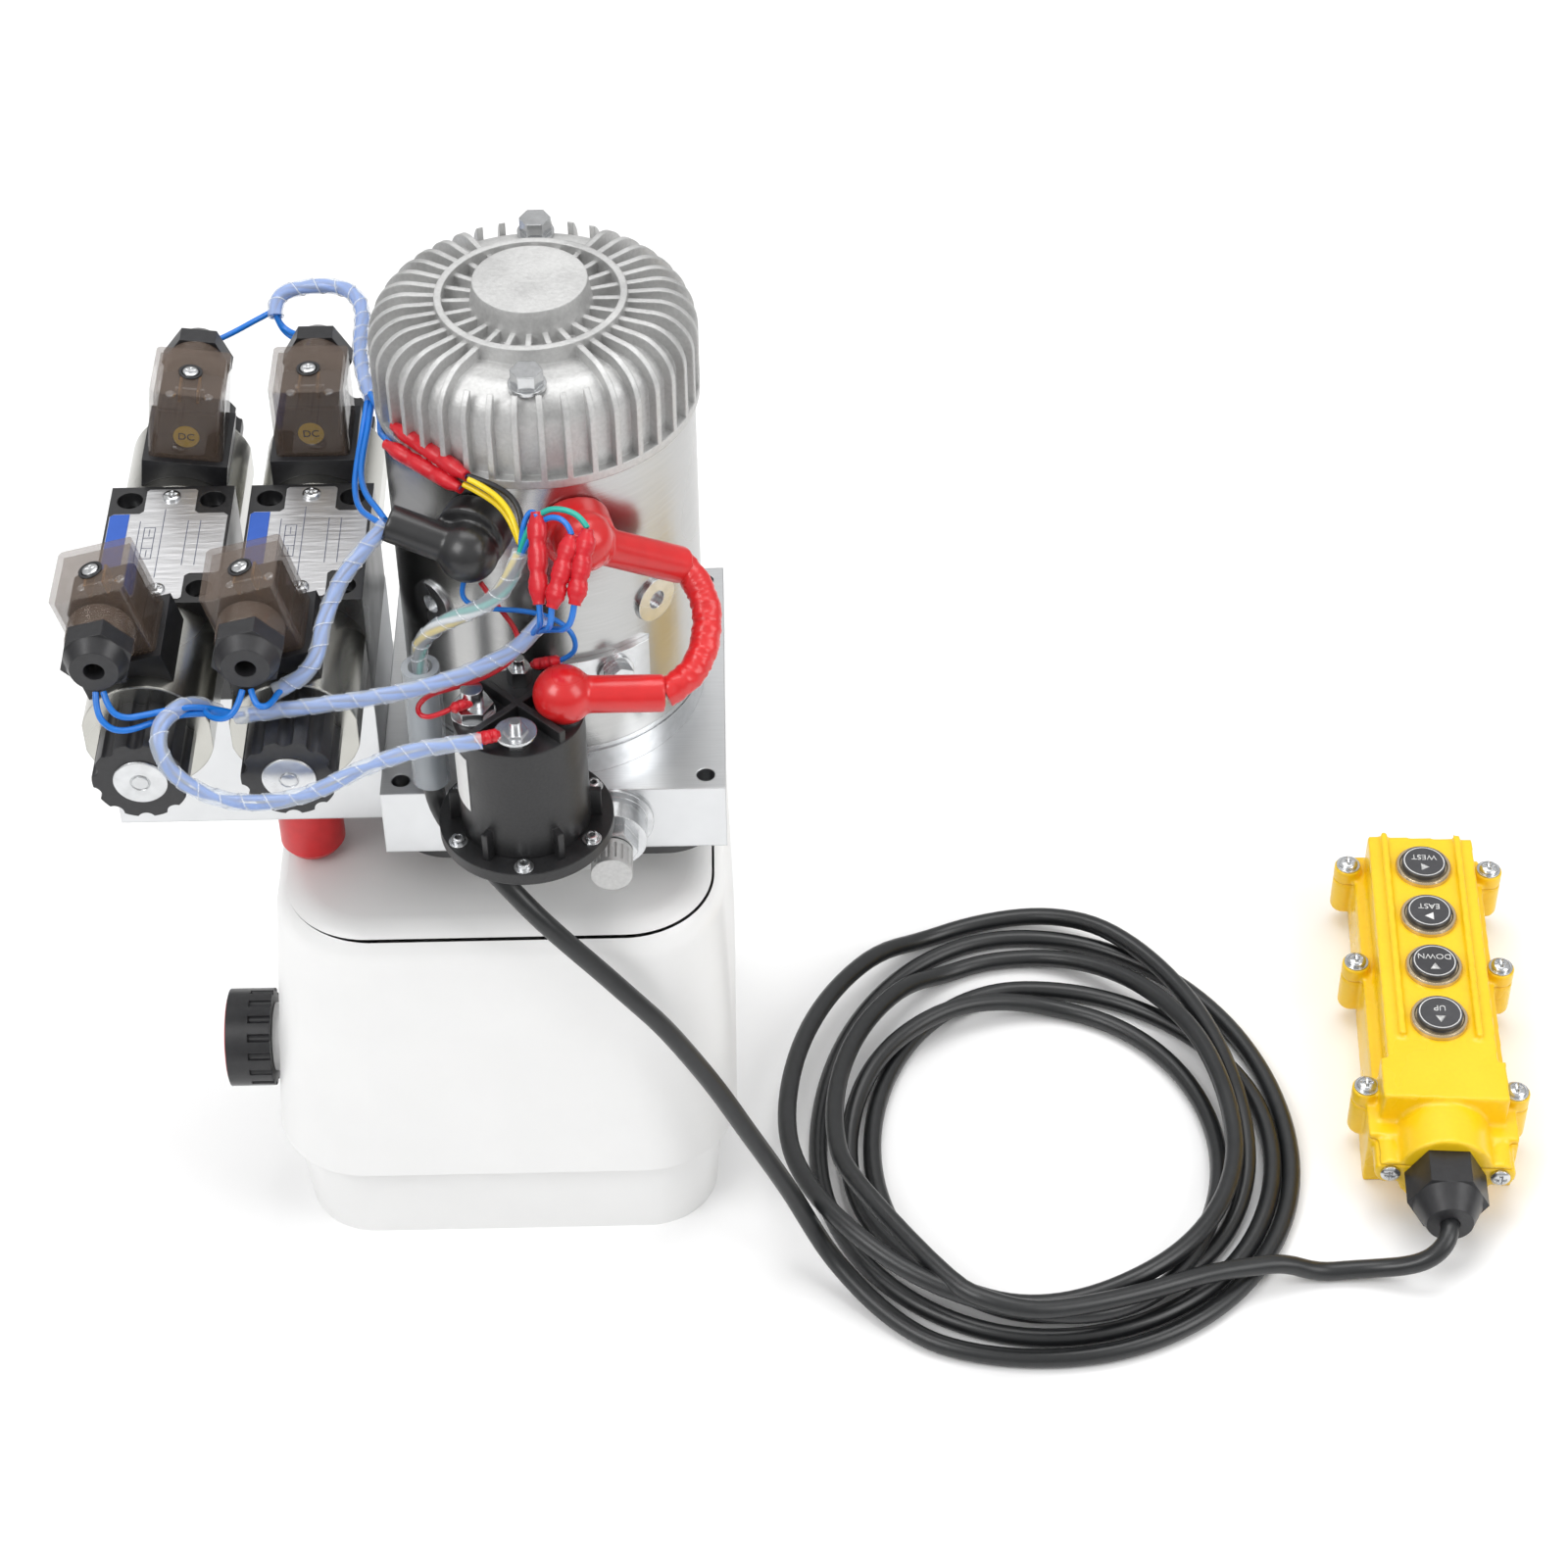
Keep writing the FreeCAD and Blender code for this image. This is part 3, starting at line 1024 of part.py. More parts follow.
LEAD = ((-44.0, -71.5, 290.0), (-43.8, -71.4, 272.5), (-44.2, -71.7, 255.0), (-44.0, -71.5, 238.0),
        (-41.2, -76.2, 229.0), (-34.0, -84.0, 222.8), (-25.5, -92.0, 218.5), (-16.5, -98.8, 211.5),
        (-6.5, -102.6, 199.5), (4.5, -103.6, 185.5), (15.5, -103.3, 170.8), (27.0, -103.7, 155.5),
        (38.5, -103.4, 139.5), (49.0, -103.7, 121.5), (59.5, -103.4, 101.0), (69.0, -103.7, 80.0),
        (78.5, -104.1, 60.0), (87.5, -105.6, 41.5), (94.5, -108.6, 26.5), (102.0, -114.8, 15.0),
        (110.5, -124.0, 9.5), (119.5, -134.5, 8.0))
TAIL = ((258.0, -129.0, 4.4), (273.0, -125.2, 4.0), (287.5, -122.9, 4.1), (301.5, -121.8, 4.0),
        (315.5, -121.5, 4.9), (327.0, -122.8, 7.2), (336.5, -125.0, 10.8), (344.5, -125.9, 15.2),
        (351.0, -122.9, 19.0), (354.81, -116.56, 22.0), (355.33, -110.08, 22.0))


def make_pendant_cable():
    radius = size("cable_radius")
    spans = ("coil_half_x", "coil_half_y")
    outer = ellipse_slab("coil_outside", "coil_x", "coil_y", *spans)
    inner = ellipse_slab("coil_inside", "coil_hole_x", "coil_hole_y", "coil_hole_half_x", "coil_hole_half_y")
    coil = cut("coil_solid", outer, inner)
    at = ("sleeve_x", "sleeve_y", "block_top + sleeve_lift")
    node("cable_sleeve", ring("sleeve", "sleeve_radius", "cable_radius + 0.6", "sleeve_length", at))
    lead = tube("lead_route", radius, LEAD)
    tail = tube("tail_route", radius, TAIL)
    node("cable_lead", cut("lead_to_coil", lead, coil))
    node("cable_tail", cut("tail_to_coil", tail, coil))
    node("cable_coil", coil)


def ellipse_slab(name, x, y, half_x, half_y):
    """An upright prism on an ellipse whose longer half is along Y."""
    base = doc.addObject("Part::Ellipse", f"{name}_edge")
    link(base, "MajorRadius", half_y)
    link(base, "MinorRadius", half_x)
    place(base, (x, y, 0), Rotation(Vector(0, 0, 1), 90))
    solid = doc.addObject("Part::Extrusion", name)
    solid.Base = base
    solid.Dir = Vector(0, 0, 1)
    solid.Solid = True
    link(solid, "LengthFwd", "coil_height")
    return solid


# ---------------------------------------------------------------- wiring

LOOMS = {
    "rear": ((-105.5, 89.5, 337.5), (-106.0, 94.5, 340.5), (-102.5, 98.0, 343.0), (-95.5, 99.5, 344.2),
             (-86.5, 99.2, 345.2), (-78.0, 96.0, 345.6), (-72.5, 89.0, 345.2), (-70.3, 78.0, 345.3),
             (-70.4, 64.0, 345.0), (-69.4, 50.0, 345.9), (-67.0, 36.5, 345.8), (-63.5, 25.0, 345.4)),
    "negative": ((-51.5, -60.0, 354.0), (-59.5, -63.5, 346.5), (-67.0, -68.5, 339.5), (-72.5, -75.5, 332.0),
                 (-75.5, -84.0, 326.5), (-76.5, -91.5, 322.5), (-79.5, -97.5, 319.0), (-85.0, -101.0, 316.2),
                 (-92.0, -103.0, 314.0)),
    "across": ((2.9, -80.0, 326.0), (-3.0, -83.5, 319.5), (-13.0, -88.5, 314.6), (-27.5, -94.0, 311.6),
               (-42.0, -98.5, 310.0), (-58.5, -102.3, 309.4), (-75.5, -105.2, 309.3), (-92.0, -107.8, 309.0),
               (-106.0, -107.0, 306.5)),
    "relay": ((-19.7, -114.5, 299.0), (-29.5, -115.6, 298.8), (-41.5, -117.0, 298.0), (-53.0, -119.8, 296.4),
              (-65.0, -123.5, 293.4), (-78.5, -128.2, 288.5), (-93.5, -130.4, 286.2), (-108.5, -129.8, 286.3),
              (-121.0, -128.0, 291.5), (-129.5, -126.4, 300.5), (-132.5, -119.0, 310.0), (-127.0, -108.0,
                                                                                          311.5),
              (-119.5, -100.8, 307.6), (-113.9, -98.2, 300.5)),
    "pendant": ((-44.0, -71.5, 290.6), (-44.0, -71.7, 298.5), (-43.5, -73.5, 307.0), (-40.5, -76.5, 315.5),
                (-34.5, -78.5, 322.5), (-27.0, -79.8, 327.5), (-19.0, -81.3, 332.5), (-12.0, -82.6, 339.5),
                (-7.0, -82.2, 348.0), (-4.0, -79.7, 356.0)),
}


def make_wiring(boot_on_loom):
    looms = [tube(f"loom_{name}", size("loom_radius"), points) for name, points in LOOMS.items()]
    node("wire_looms", cut("looms_to_boot", fuse("loom_set", *looms), boot_on_loom))


# ---------------------------------------------------------------- build, check and export


def check(objects):
    """Stop on any object that failed, and on any sub-part that is not a whole, valid shape."""
    for obj in doc.Objects:
        if {"Invalid", "Error"} & set(obj.State):
            raise RuntimeError(f"{obj.Label} failed: {obj.State}")
    for obj in objects:
        shape = obj.Shape
        if shape.isNull() or not shape.isValid() or not shape.Solids:
            raise RuntimeError(f"{obj.Label} has no valid solid")


def main():
    make_tank()
    make_filler_cap()
    make_block()
    make_pump()
    make_relief_valve()
    make_motor_case()
    make_end_cap()
    make_motor_inside()
    make_brush_gear()
    make_valves()
    make_relay()
    make_relay_bracket()
    make_pendant()
    black_boot = make_power()
    make_pendant_cable()
    make_wiring(black_boot)
    doc.recompute()
    check(nodes)
    os.makedirs("parts", exist_ok=True)
    for obj in nodes:
        obj.Shape.exportStep(os.path.join("parts", f"{obj.Label}.step"))
    print(f"{len(nodes)} sub-parts")


main()
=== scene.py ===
"""Looks of the hydraulic power unit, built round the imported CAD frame."""

import json
import math

import bpy
from mathutils import Matrix, Vector, noise


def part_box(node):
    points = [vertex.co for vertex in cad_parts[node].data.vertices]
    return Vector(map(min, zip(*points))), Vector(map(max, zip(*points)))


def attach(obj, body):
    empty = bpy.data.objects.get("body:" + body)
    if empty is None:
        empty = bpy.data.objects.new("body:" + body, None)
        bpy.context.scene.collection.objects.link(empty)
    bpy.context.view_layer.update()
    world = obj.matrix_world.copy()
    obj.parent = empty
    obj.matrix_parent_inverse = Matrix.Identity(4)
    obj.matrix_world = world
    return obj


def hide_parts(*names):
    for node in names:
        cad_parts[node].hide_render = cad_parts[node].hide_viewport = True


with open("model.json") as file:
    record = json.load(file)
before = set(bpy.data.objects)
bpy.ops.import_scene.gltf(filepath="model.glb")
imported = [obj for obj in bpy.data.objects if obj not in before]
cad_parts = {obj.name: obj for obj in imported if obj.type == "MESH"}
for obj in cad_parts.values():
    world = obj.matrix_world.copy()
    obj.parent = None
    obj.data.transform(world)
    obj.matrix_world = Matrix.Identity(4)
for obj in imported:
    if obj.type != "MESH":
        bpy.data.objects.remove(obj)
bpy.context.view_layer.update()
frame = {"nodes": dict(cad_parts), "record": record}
MM = 0.001
HARD_EDGE = math.radians(35)
RECORD_SLOTS = {entry["material_slot"] for entry in frame["record"]["subparts"]}
BODY_OF = {node: body for body, nodes in frame["record"]["behaviour"]["bodies"].items() for node in nodes}


# ---------------------------------------------------------------- materials


class Graph:
    """A node material: object coordinates feed noise, which feeds colour, roughness and bump."""

    def __init__(self, name):
        self.material = bpy.data.materials.new(name)
        self.material.use_nodes = True
        self.nodes = self.material.node_tree.nodes
        self.links = self.material.node_tree.links
        self.shader = self.nodes["Principled BSDF"]
        self.coords = self.nodes.new("ShaderNodeTexCoord")

    def new(self, kind, inputs=(), **props):
        node = self.nodes.new(kind)
        for key, value in props.items():
            setattr(node, key, value)
        for key, value in dict(inputs).items():
            if isinstance(value, bpy.types.NodeSocket):
                self.links.new(value, node.inputs[key])
            else:
                node.inputs[key].default_value = value
        return node

    def put(self, socket, value):
        self.links.new(value, self.shader.inputs[socket])

    def noise(self, scale, stretch=(1, 1, 1), detail=4.0):
        mapping = self.new("ShaderNodeMapping", {"Vector": self.coords.outputs["Object"], "Scale": stretch})
        made = self.new("ShaderNodeTexNoise", {"Vector": mapping.outputs["Vector"], "Scale": scale,
                                               "Detail": detail})
        return made.outputs["Fac"]

    def between(self, fac, low, high):
        made = self.new("ShaderNodeMapRange", {"Value": fac, "From Min": 0.3, "From Max": 0.7,
                                               "To Min": low, "To Max": high})
        return made.outputs["Result"]


def surface(name, colour, rough, metal=0.0, tint=0.12, grain=90.0, stretch=(1, 1, 1), bump=0.1, depth=0.0002,
            spread=0.08, bevel=0.0006, **fixed):
    """A finish whose colour, roughness and height vary with grain; its edges are softened in shading."""
    graph = Graph(name)
    fine = graph.noise(grain, stretch)
    broad = graph.noise(grain / 14, (1, 1, 1), 2.0)
    dark = tuple(c * (1 - tint) for c in colour)
    light = tuple(min(1.0, c * (1 + tint)) for c in colour)
    blend = graph.new("ShaderNodeMath", {0: fine, 1: broad}, operation="ADD")
    half = graph.new("ShaderNodeMath", {0: blend.outputs[0], 1: 0.5}, operation="MULTIPLY")
    ramp = graph.new("ShaderNodeValToRGB", {"Fac": half.outputs[0]})
    ramp.color_ramp.elements[0].position = 0.35
    ramp.color_ramp.elements[0].color = (*dark, 1)
    ramp.color_ramp.elements[1].position = 0.65
    ramp.color_ramp.elements[1].color = (*light, 1)
    graph.put("Base Color", ramp.outputs["Color"])
    graph.put("Roughness", graph.between(broad, max(0.02, rough - spread), min(1.0, rough + spread)))
    high = graph.new("ShaderNodeBump", {"Height": fine, "Strength": bump, "Distance": depth})
    if bevel:
        soft = graph.new("ShaderNodeBevel", {"Radius": bevel}, samples=4)
        graph.links.new(soft.outputs["Normal"], high.inputs["Normal"])
    graph.put("Normal", high.outputs["Normal"])
    graph.shader.inputs["Metallic"].default_value = metal
    for key, value in fixed.items():
        graph.shader.inputs[key.replace("_", " ")].default_value = value
    return graph.material


MATERIALS = {
    "tank_plastic": surface("tank_plastic", (0.83, 0.83, 0.825), 0.38, grain=30, tint=0.02, bump=0.12, depth=0.0005,
                            bevel=0, Coat_Weight=0.15, Coat_Roughness=0.3),
    "black_plastic": surface("black_plastic", (0.018, 0.018, 0.02), 0.36, grain=400, tint=0.25, bump=0.15),
    "black_rubber": surface("black_rubber", (0.016, 0.016, 0.017), 0.34, grain=150, tint=0.3, bump=0.25,
                            Coat_Weight=0.25, Coat_Roughness=0.2),
    "red_rubber": surface("red_rubber", (0.62, 0.012, 0.014), 0.33, grain=120, tint=0.10, bump=0.25,
                          Coat_Weight=0.3, Coat_Roughness=0.18),
    "white_label": surface("white_label", (0.78, 0.78, 0.77), 0.45, grain=600, tint=0.04),
    "milled_aluminium": surface("milled_aluminium", (0.66, 0.67, 0.68), 0.32, 1.0, 0.05, 60, (1, 26, 1), 0.10,
                                bevel=0.0008),
    "cast_aluminium": surface("cast_aluminium", (0.56, 0.56, 0.555), 0.52, 0.75, 0.10, 700, bump=0.5, depth=0.0003,
                              spread=0.1, bevel=0.0008),
    "zinc_steel": surface("zinc_steel", (0.60, 0.61, 0.62), 0.24, 1.0, 0.12, 250, bump=0.08, bevel=0.0005),
    "black_paint": surface("black_paint", (0.012, 0.012, 0.013), 0.34, 0.0, 0.3, 500, bump=0.12, bevel=0.0007,
                           Coat_Weight=0.3, Coat_Roughness=0.25),
    "motor_steel": surface("motor_steel", (0.47, 0.47, 0.465), 0.27, 1.0, 0.07, 40, (1, 1, 30), 0.10, bevel=0.0006,
                           Anisotropic=0.4),
    "coil_case": surface("coil_case", (0.52, 0.515, 0.48), 0.26, 1.0, 0.08, 60, (1, 24, 1), 0.06, bevel=0.0012),
    "smoke_plastic": surface("smoke_plastic", (0.17, 0.12, 0.09), 0.06, 0.0, 0.10, 60, bump=0.0, spread=0.03,
                             bevel=0.0008, Alpha=0.34, Coat_Weight=1.0, Coat_Roughness=0.03),
    "relay_body": surface("relay_body", (0.014, 0.014, 0.015), 0.40, 0.0, 0.3, 900, bump=0.20, bevel=0.0009),
    "yellow_plastic": surface("yellow_plastic", (0.88, 0.56, 0.004), 0.33, 0.0, 0.04, 500, bump=0.10, bevel=0.0010,
                              Coat_Weight=0.25, Coat_Roughness=0.2),
    "red_plastic": surface("red_plastic", (0.58, 0.012, 0.016), 0.30, 0.0, 0.10, 200, bump=0.10),
    "button_face": surface("button_face", (0.06, 0.06, 0.065), 0.30, 0.2, 0.15, 300, bump=0.05),
    "cable_rubber": surface("cable_rubber", (0.011, 0.012, 0.013), 0.36, 0.0, 0.25, 260, bump=0.18,
                            Coat_Weight=0.15, Coat_Roughness=0.3),
    "wrap_plastic": surface("wrap_plastic", (0.74, 0.80, 0.86), 0.20, 0.0, 0.05, 80, bump=0.05, spread=0.05,
                            Alpha=0.36, Coat_Weight=0.5, Coat_Roughness=0.08),
    "wire_blue": surface("wire_blue", (0.008, 0.17, 0.62), 0.30, 0.0, 0.08, 200, bump=0.05),
    "wire_red": surface("wire_red", (0.55, 0.010, 0.020), 0.32, 0.0, 0.10, 200, bump=0.08),
    "wire_yellow": surface("wire_yellow", (0.85, 0.62, 0.01), 0.32, 0.0, 0.06, 200, bump=0.05),
    "wire_green": surface("wire_green", (0.01, 0.38, 0.30), 0.32, 0.0, 0.06, 200, bump=0.05),
    "brass": surface("brass", (0.62, 0.36, 0.16), 0.28, 1.0, 0.15, 300, bump=0.1),
    "iron": surface("iron", (0.20, 0.20, 0.21), 0.45, 0.9, 0.15, 200, bump=0.2),
    "copper_winding": surface("copper_winding", (0.55, 0.26, 0.13), 0.35, 0.9, 0.2, 80, (1, 1, 12), 0.3),
    "steel_shaft": surface("steel_shaft", (0.58, 0.58, 0.59), 0.22, 1.0, 0.06, 60, (1, 1, 20), 0.06),
}
for entry in frame["record"]["subparts"]:
    shown = frame["nodes"][entry["node"]]
    shown.data.materials.clear()
    shown.data.materials.append(MATERIALS[entry["material_slot"]])


# ---------------------------------------------------------------- mesh building


def frames(line):
    """Each point of a line with two directions square to it that turn as little as they can."""
    side = None
    run = 0.0
    for i, here in enumerate(line):
        ahead = (line[min(i + 1, len(line) - 1)] - line[max(i - 1, 0)]).normalized()
        side = ahead.orthogonal() if side is None else side - ahead * side.dot(ahead)
        side.normalize()
        run += (here - line[i - 1]).length / MM if i else 0.0
        yield here, side, ahead.cross(side), run


class Build:
    """Collects vertices and faces, then makes one object of them."""

    def __init__(self):
        self.verts = []
        self.faces = []
        self.index = []
        self.slots = []

    def add(self, verts, faces, slot):
        start = len(self.verts)
        if slot not in self.slots:
            self.slots.append(slot)
        self.verts += [tuple(v) for v in verts]
        self.faces += [tuple(start + i for i in face) for face in faces]
        self.index += [self.slots.index(slot)] * len(faces)

    def lathe(self, profile, at, axis, slot, sides=40):
        """Turns (radius, height) pairs in mm about an axis."""
        spin = Vector(axis).to_track_quat("Z", "Y").to_matrix()
        verts = []
        for radius, height in profile:
            for step in range(sides):
                angle = 2 * math.pi * step / sides
                local = Vector((radius * math.cos(angle), radius * math.sin(angle), height)) * MM
                verts.append(Vector(at) + spin @ local)
        faces = []
        for row in range(len(profile) - 1):
            for step in range(sides):
                a, b = row * sides + step, row * sides + (step + 1) % sides
                faces.append((a, b, b + sides, a + sides))
        if profile[0][0] > 0:
            faces.append(tuple(reversed(range(sides))))
        if profile[-1][0] > 0:
            top = (len(profile) - 1) * sides
            faces.append(tuple(range(top, top + sides)))
        self.add(verts, faces, slot)

    def tube(self, line, radius, slot, sides=16):
        """A tube along a line; radius is in mm, or radius(run in mm, angle)."""
        rings = []
        for here, side, up, run in frames(line):
            for step in range(sides):
                angle = 2 * math.pi * step / sides
                size = radius(run, angle) if callable(radius) else radius
                rings.append(here + (side * math.cos(angle) + up * math.sin(angle)) * size * MM)
        faces = []
        for row in range(len(line) - 1):
            for step in range(sides):
                a, b = row * sides + step, row * sides + (step + 1) % sides
                faces.append((a, b, b + sides, a + sides))
        faces.append(tuple(reversed(range(sides))))
        faces.append(tuple(range((len(line) - 1) * sides, len(line) * sides)))
        self.add(rings, faces, slot)

    def block(self, low, high, slot, matrix=Matrix(), chamfer=0.0):
        """A box with chamfered upright edges, given by two corners in mm in a frame of its own."""
        (x0, y0, z0), (x1, y1, z1) = low, high
        c = chamfer
        plan = [(x0 + c, y0), (x1 - c, y0), (x1, y0 + c), (x1, y1 - c), (x1 - c, y1), (x0 + c, y1), (x0, y1 - c),
                (x0, y0 + c)] if c else [(x0, y0), (x1, y0), (x1, y1), (x0, y1)]
        self.prism(plan, z0, z1, slot, matrix)

    def prism(self, plan, z0, z1, slot, matrix=Matrix()):
        """An upright prism over a plan outline in mm."""
        count = len(plan)
        verts = [matrix @ (Vector((x, y, z)) * MM) for z in (z0, z1) for x, y in plan]
        faces = [tuple(reversed(range(count))), tuple(range(count, 2 * count))]
        faces += [(i, (i + 1) % count, (i + 1) % count + count, i + count) for i in range(count)]
        self.add(verts, faces, slot)

    def finish(self, name, body="base", replaces=()):
        """Makes the object, splits its hard edges and puts it on its body."""
        mesh = bpy.data.meshes.new(name)
        mesh.from_pydata(self.verts, [], self.faces)
        mesh.update()
        for slot in self.slots:
            mesh.materials.append(MATERIALS[slot])
        mesh.polygons.foreach_set("material_index", self.index)
        obj = bpy.data.objects.new(name, mesh)
        bpy.context.collection.objects.link(obj)
        mesh.shade_smooth()
        split = obj.modifiers.new("edges", "EDGE_SPLIT")
        split.split_angle = HARD_EDGE
        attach(obj, body)
        self.slots[0] if self.slots[0] in RECORD_SLOTS else "zinc_steel"
        if replaces:
            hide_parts(*replaces)


def nurbs(name, points, radius=0.0, steps=6):
    """A curve object with one smooth spline through control points in mm."""
    curve = bpy.data.curves.new(name, "CURVE")
    curve.dimensions = "3D"
    curve.resolution_u = steps
    curve.bevel_depth = radius * MM
    curve.bevel_resolution = 6
    curve.use_fill_caps = True
    spline = curve.splines.new("NURBS")
    spline.points.add(len(points) - 1)
    for point, place in zip(spline.points, points):
        point.co = (*(c * MM for c in place), 1.0)
    spline.order_u = 3
    spline.use_endpoint_u = True
    obj = bpy.data.objects.new(name, curve)
    bpy.context.collection.objects.link(obj)
    return obj


def line_of(points, steps=6):
    """The smooth spline's own points, in order."""
    temp = nurbs("temp_line", points, steps=steps)
    bpy.context.view_layer.update()
    mesh = bpy.data.meshes.new_from_object(temp.evaluated_get(bpy.context.evaluated_depsgraph_get()))
    line = [v.co.copy() for v in mesh.vertices]
    curve = temp.data
    bpy.data.objects.remove(temp)
    bpy.data.curves.remove(curve)
    bpy.data.meshes.remove(mesh)
    return line


def soften(node, voxel, rounds, slot):
    """A moulded copy of a CAD node: its edges and joints are blended as in a real casting."""
    source = frame["nodes"][node]
    mesh = source.data.copy()
    obj = bpy.data.objects.new(f"{node}_moulded", mesh)
    bpy.context.collection.objects.link(obj)
    remesh = obj.modifiers.new("remesh", "REMESH")
    remesh.mode = "VOXEL"
    remesh.voxel_size = voxel * MM
    remesh.use_smooth_shade = True
    smooth = obj.modifiers.new("smooth", "SMOOTH")
    smooth.factor = 0.5
    smooth.iterations = rounds
    bpy.context.view_layer.update()
    done = bpy.data.meshes.new_from_object(obj.evaluated_get(bpy.context.evaluated_depsgraph_get()))
    obj.modifiers.clear()
    obj.data = done
    done.materials.clear()
    done.materials.append(MATERIALS[slot])
    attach(obj, BODY_OF[node])
    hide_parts(node)


# ---------------------------------------------------------------- camera, light and floor

CAMERA_LENS = 80.54
CAMERA_AT = (0.07596, -1.02912, 1.12755)
CAMERA_PITCH, CAMERA_YAW, CAMERA_ROLL = (math.radians(a) for a in (42.97, 0.65, -0.70))
look = Vector((math.sin(CAMERA_YAW) * math.cos(CAMERA_PITCH), math.cos(CAMERA_YAW) * math.cos(CAMERA_PITCH),
               -math.sin(CAMERA_PITCH)))
lens = bpy.data.cameras.new("camera")
lens.lens = CAMERA_LENS
lens.sensor_width = 36.0
camera = bpy.data.objects.new("camera", lens)
camera.matrix_world = (Matrix.Translation(CAMERA_AT) @ look.to_track_quat("-Z", "Y").to_matrix().to_4x4()
                       @ Matrix.Rotation(CAMERA_ROLL, 4, "Z"))
bpy.context.collection.objects.link(camera)
bpy.context.scene.camera = camera

bpy.context.scene.view_settings.view_transform = "Standard"

FLOOR_HALF = 6.0
floor_mesh = bpy.data.meshes.new("floor")
corners = [(-FLOOR_HALF, -FLOOR_HALF, 0), (FLOOR_HALF, -FLOOR_HALF, 0), (FLOOR_HALF, FLOOR_HALF, 0),
           (-FLOOR_HALF, FLOOR_HALF, 0)]
floor_mesh.from_pydata(corners, [], [(0, 1, 2, 3)])
floor = bpy.data.objects.new("floor", floor_mesh)
bpy.context.collection.objects.link(floor)
floor_mesh.materials.append(surface("floor_white", (0.92, 0.92, 0.92), 0.6, grain=3, tint=0.01, bump=0.0))

world = bpy.data.worlds.new("studio")
bpy.context.scene.world = world
world.use_nodes = True
sky = world.node_tree
background = sky.nodes["Background"]
background.inputs["Strength"].default_value = 0.74
where = sky.nodes.new("ShaderNodeTexCoord")
split = sky.nodes.new("ShaderNodeSeparateXYZ")
sky_ramp = sky.nodes.new("ShaderNodeValToRGB")
sky.links.new(where.outputs["Generated"], split.inputs["Vector"])
sky.links.new(split.outputs["Z"], sky_ramp.inputs["Fac"])
sky.links.new(sky_ramp.outputs["Color"], background.inputs["Color"])
for spot, level in ((0.0, 0.62), (0.12, 0.50), (0.45, 0.92), (1.0, 1.0)):
    stop = sky_ramp.color_ramp.elements.new(spot)
    stop.color = (level, level, level, 1)


LAMP_TARGET = (0.08, 0, 0.18)


def lamp(name, at, size, power):
    """A soft lamp that faces the middle of the object."""
    light = bpy.data.lights.new(name, "AREA")
    light.shape = "RECTANGLE"
    light.size, light.size_y = size
    light.energy = power
    obj = bpy.data.objects.new(name, light)
    obj.location = at
    obj.rotation_euler = (Vector(LAMP_TARGET) - Vector(at)).to_track_quat("-Z", "Y").to_euler()
    bpy.context.collection.objects.link(obj)


lamp("key", (-1.1, -0.9, 1.7), (1.0, 1.0), 18)
lamp("fill", (1.5, -0.7, 1.3), (0.9, 1.2), 12)
lamp("top", (0.1, 0.5, 2.0), (1.6, 1.0), 16)


# ---------------------------------------------------------------- pendant cable

LEAD = (
    (-44.0, -71.5, 290.0), (-43.8, -71.4, 272.5), (-44.2, -71.7, 255.0), (-44.0, -71.5, 238.0),
    (-41.2, -76.2, 229.0), (-34.0, -84.0, 222.8), (-25.5, -92.0, 218.5), (-16.5, -98.8, 211.5),
    (-6.5, -102.6, 199.5), (4.5, -103.6, 185.5), (15.5, -103.3, 170.8), (27.0, -103.7, 155.5),
    (38.5, -103.4, 139.5), (49.0, -103.7, 121.5), (59.5, -103.4, 101.0), (69.0, -103.7, 80.0),
    (78.5, -104.1, 60.0), (87.5, -105.6, 41.5), (94.5, -108.6, 26.5), (102.0, -114.8, 15.0),
    (110.5, -124.0, 9.5), (120.5, -134.5, 5.5), (132.5, -146.0, 4.2), (146.5, -155.5, 4.0),
)
TAIL = (
    (258.0, -131.0, 9.0), (273.0, -126.2, 6.0), (287.5, -122.9, 4.4), (301.5, -121.8, 4.0),
    (315.5, -121.5, 4.9), (327.0, -122.8, 7.2), (336.5, -125.0, 10.8), (344.5, -125.9, 15.2),
    (351.0, -122.9, 19.0), (354.81, -116.56, 22.0), (355.33, -110.08, 22.0),
)
COIL_CENTRE = (192.0, -55.0)
FRONTS = (108.0, 98.0, 86.0, 99.0, 88.0, 100.0)
TURNS = ((107.0, 128.0, 93.0), (99.0, 96.0, 70.0), (88.0, 139.0, 106.0), (76.0, 85.0, 80.0), (82.0, 115.0, 86.0))
TURN_STEPS = 30
CABLE_RADIUS = 3.9
LAY_GAP = 8.1
LAY_SLOPE = 3.0
LAY_REACH = 6
OWN_RUN = 3
FLOOR_CLEARANCE = 0.1
LIFTED = 30
COIL_HEIGHT = 4.0
LAST_TURN_STEPS = TURN_STEPS - 5


def coil_plan():
    """Loose turns: each quarter is part of an ellipse, and the turns differ in size."""
    plan = []
    for number, (right, back, left) in enumerate(TURNS):
        last = TURN_STEPS if number < len(TURNS) - 1 else LAST_TURN_STEPS
        for step in range(last):
            angle = 2 * math.pi * step / TURN_STEPS - math.pi / 2
            half_x = right if math.cos(angle) > 0 else left
            if math.sin(angle) > 0:
                half_y = back
            else:
                half_y = FRONTS[number] if step < TURN_STEPS / 2 else FRONTS[number + 1]
            x, y = COIL_CENTRE[0] + half_x * math.cos(angle), COIL_CENTRE[1] + half_y * math.sin(angle)
            plan.append((x, y, COIL_HEIGHT))
    return plan


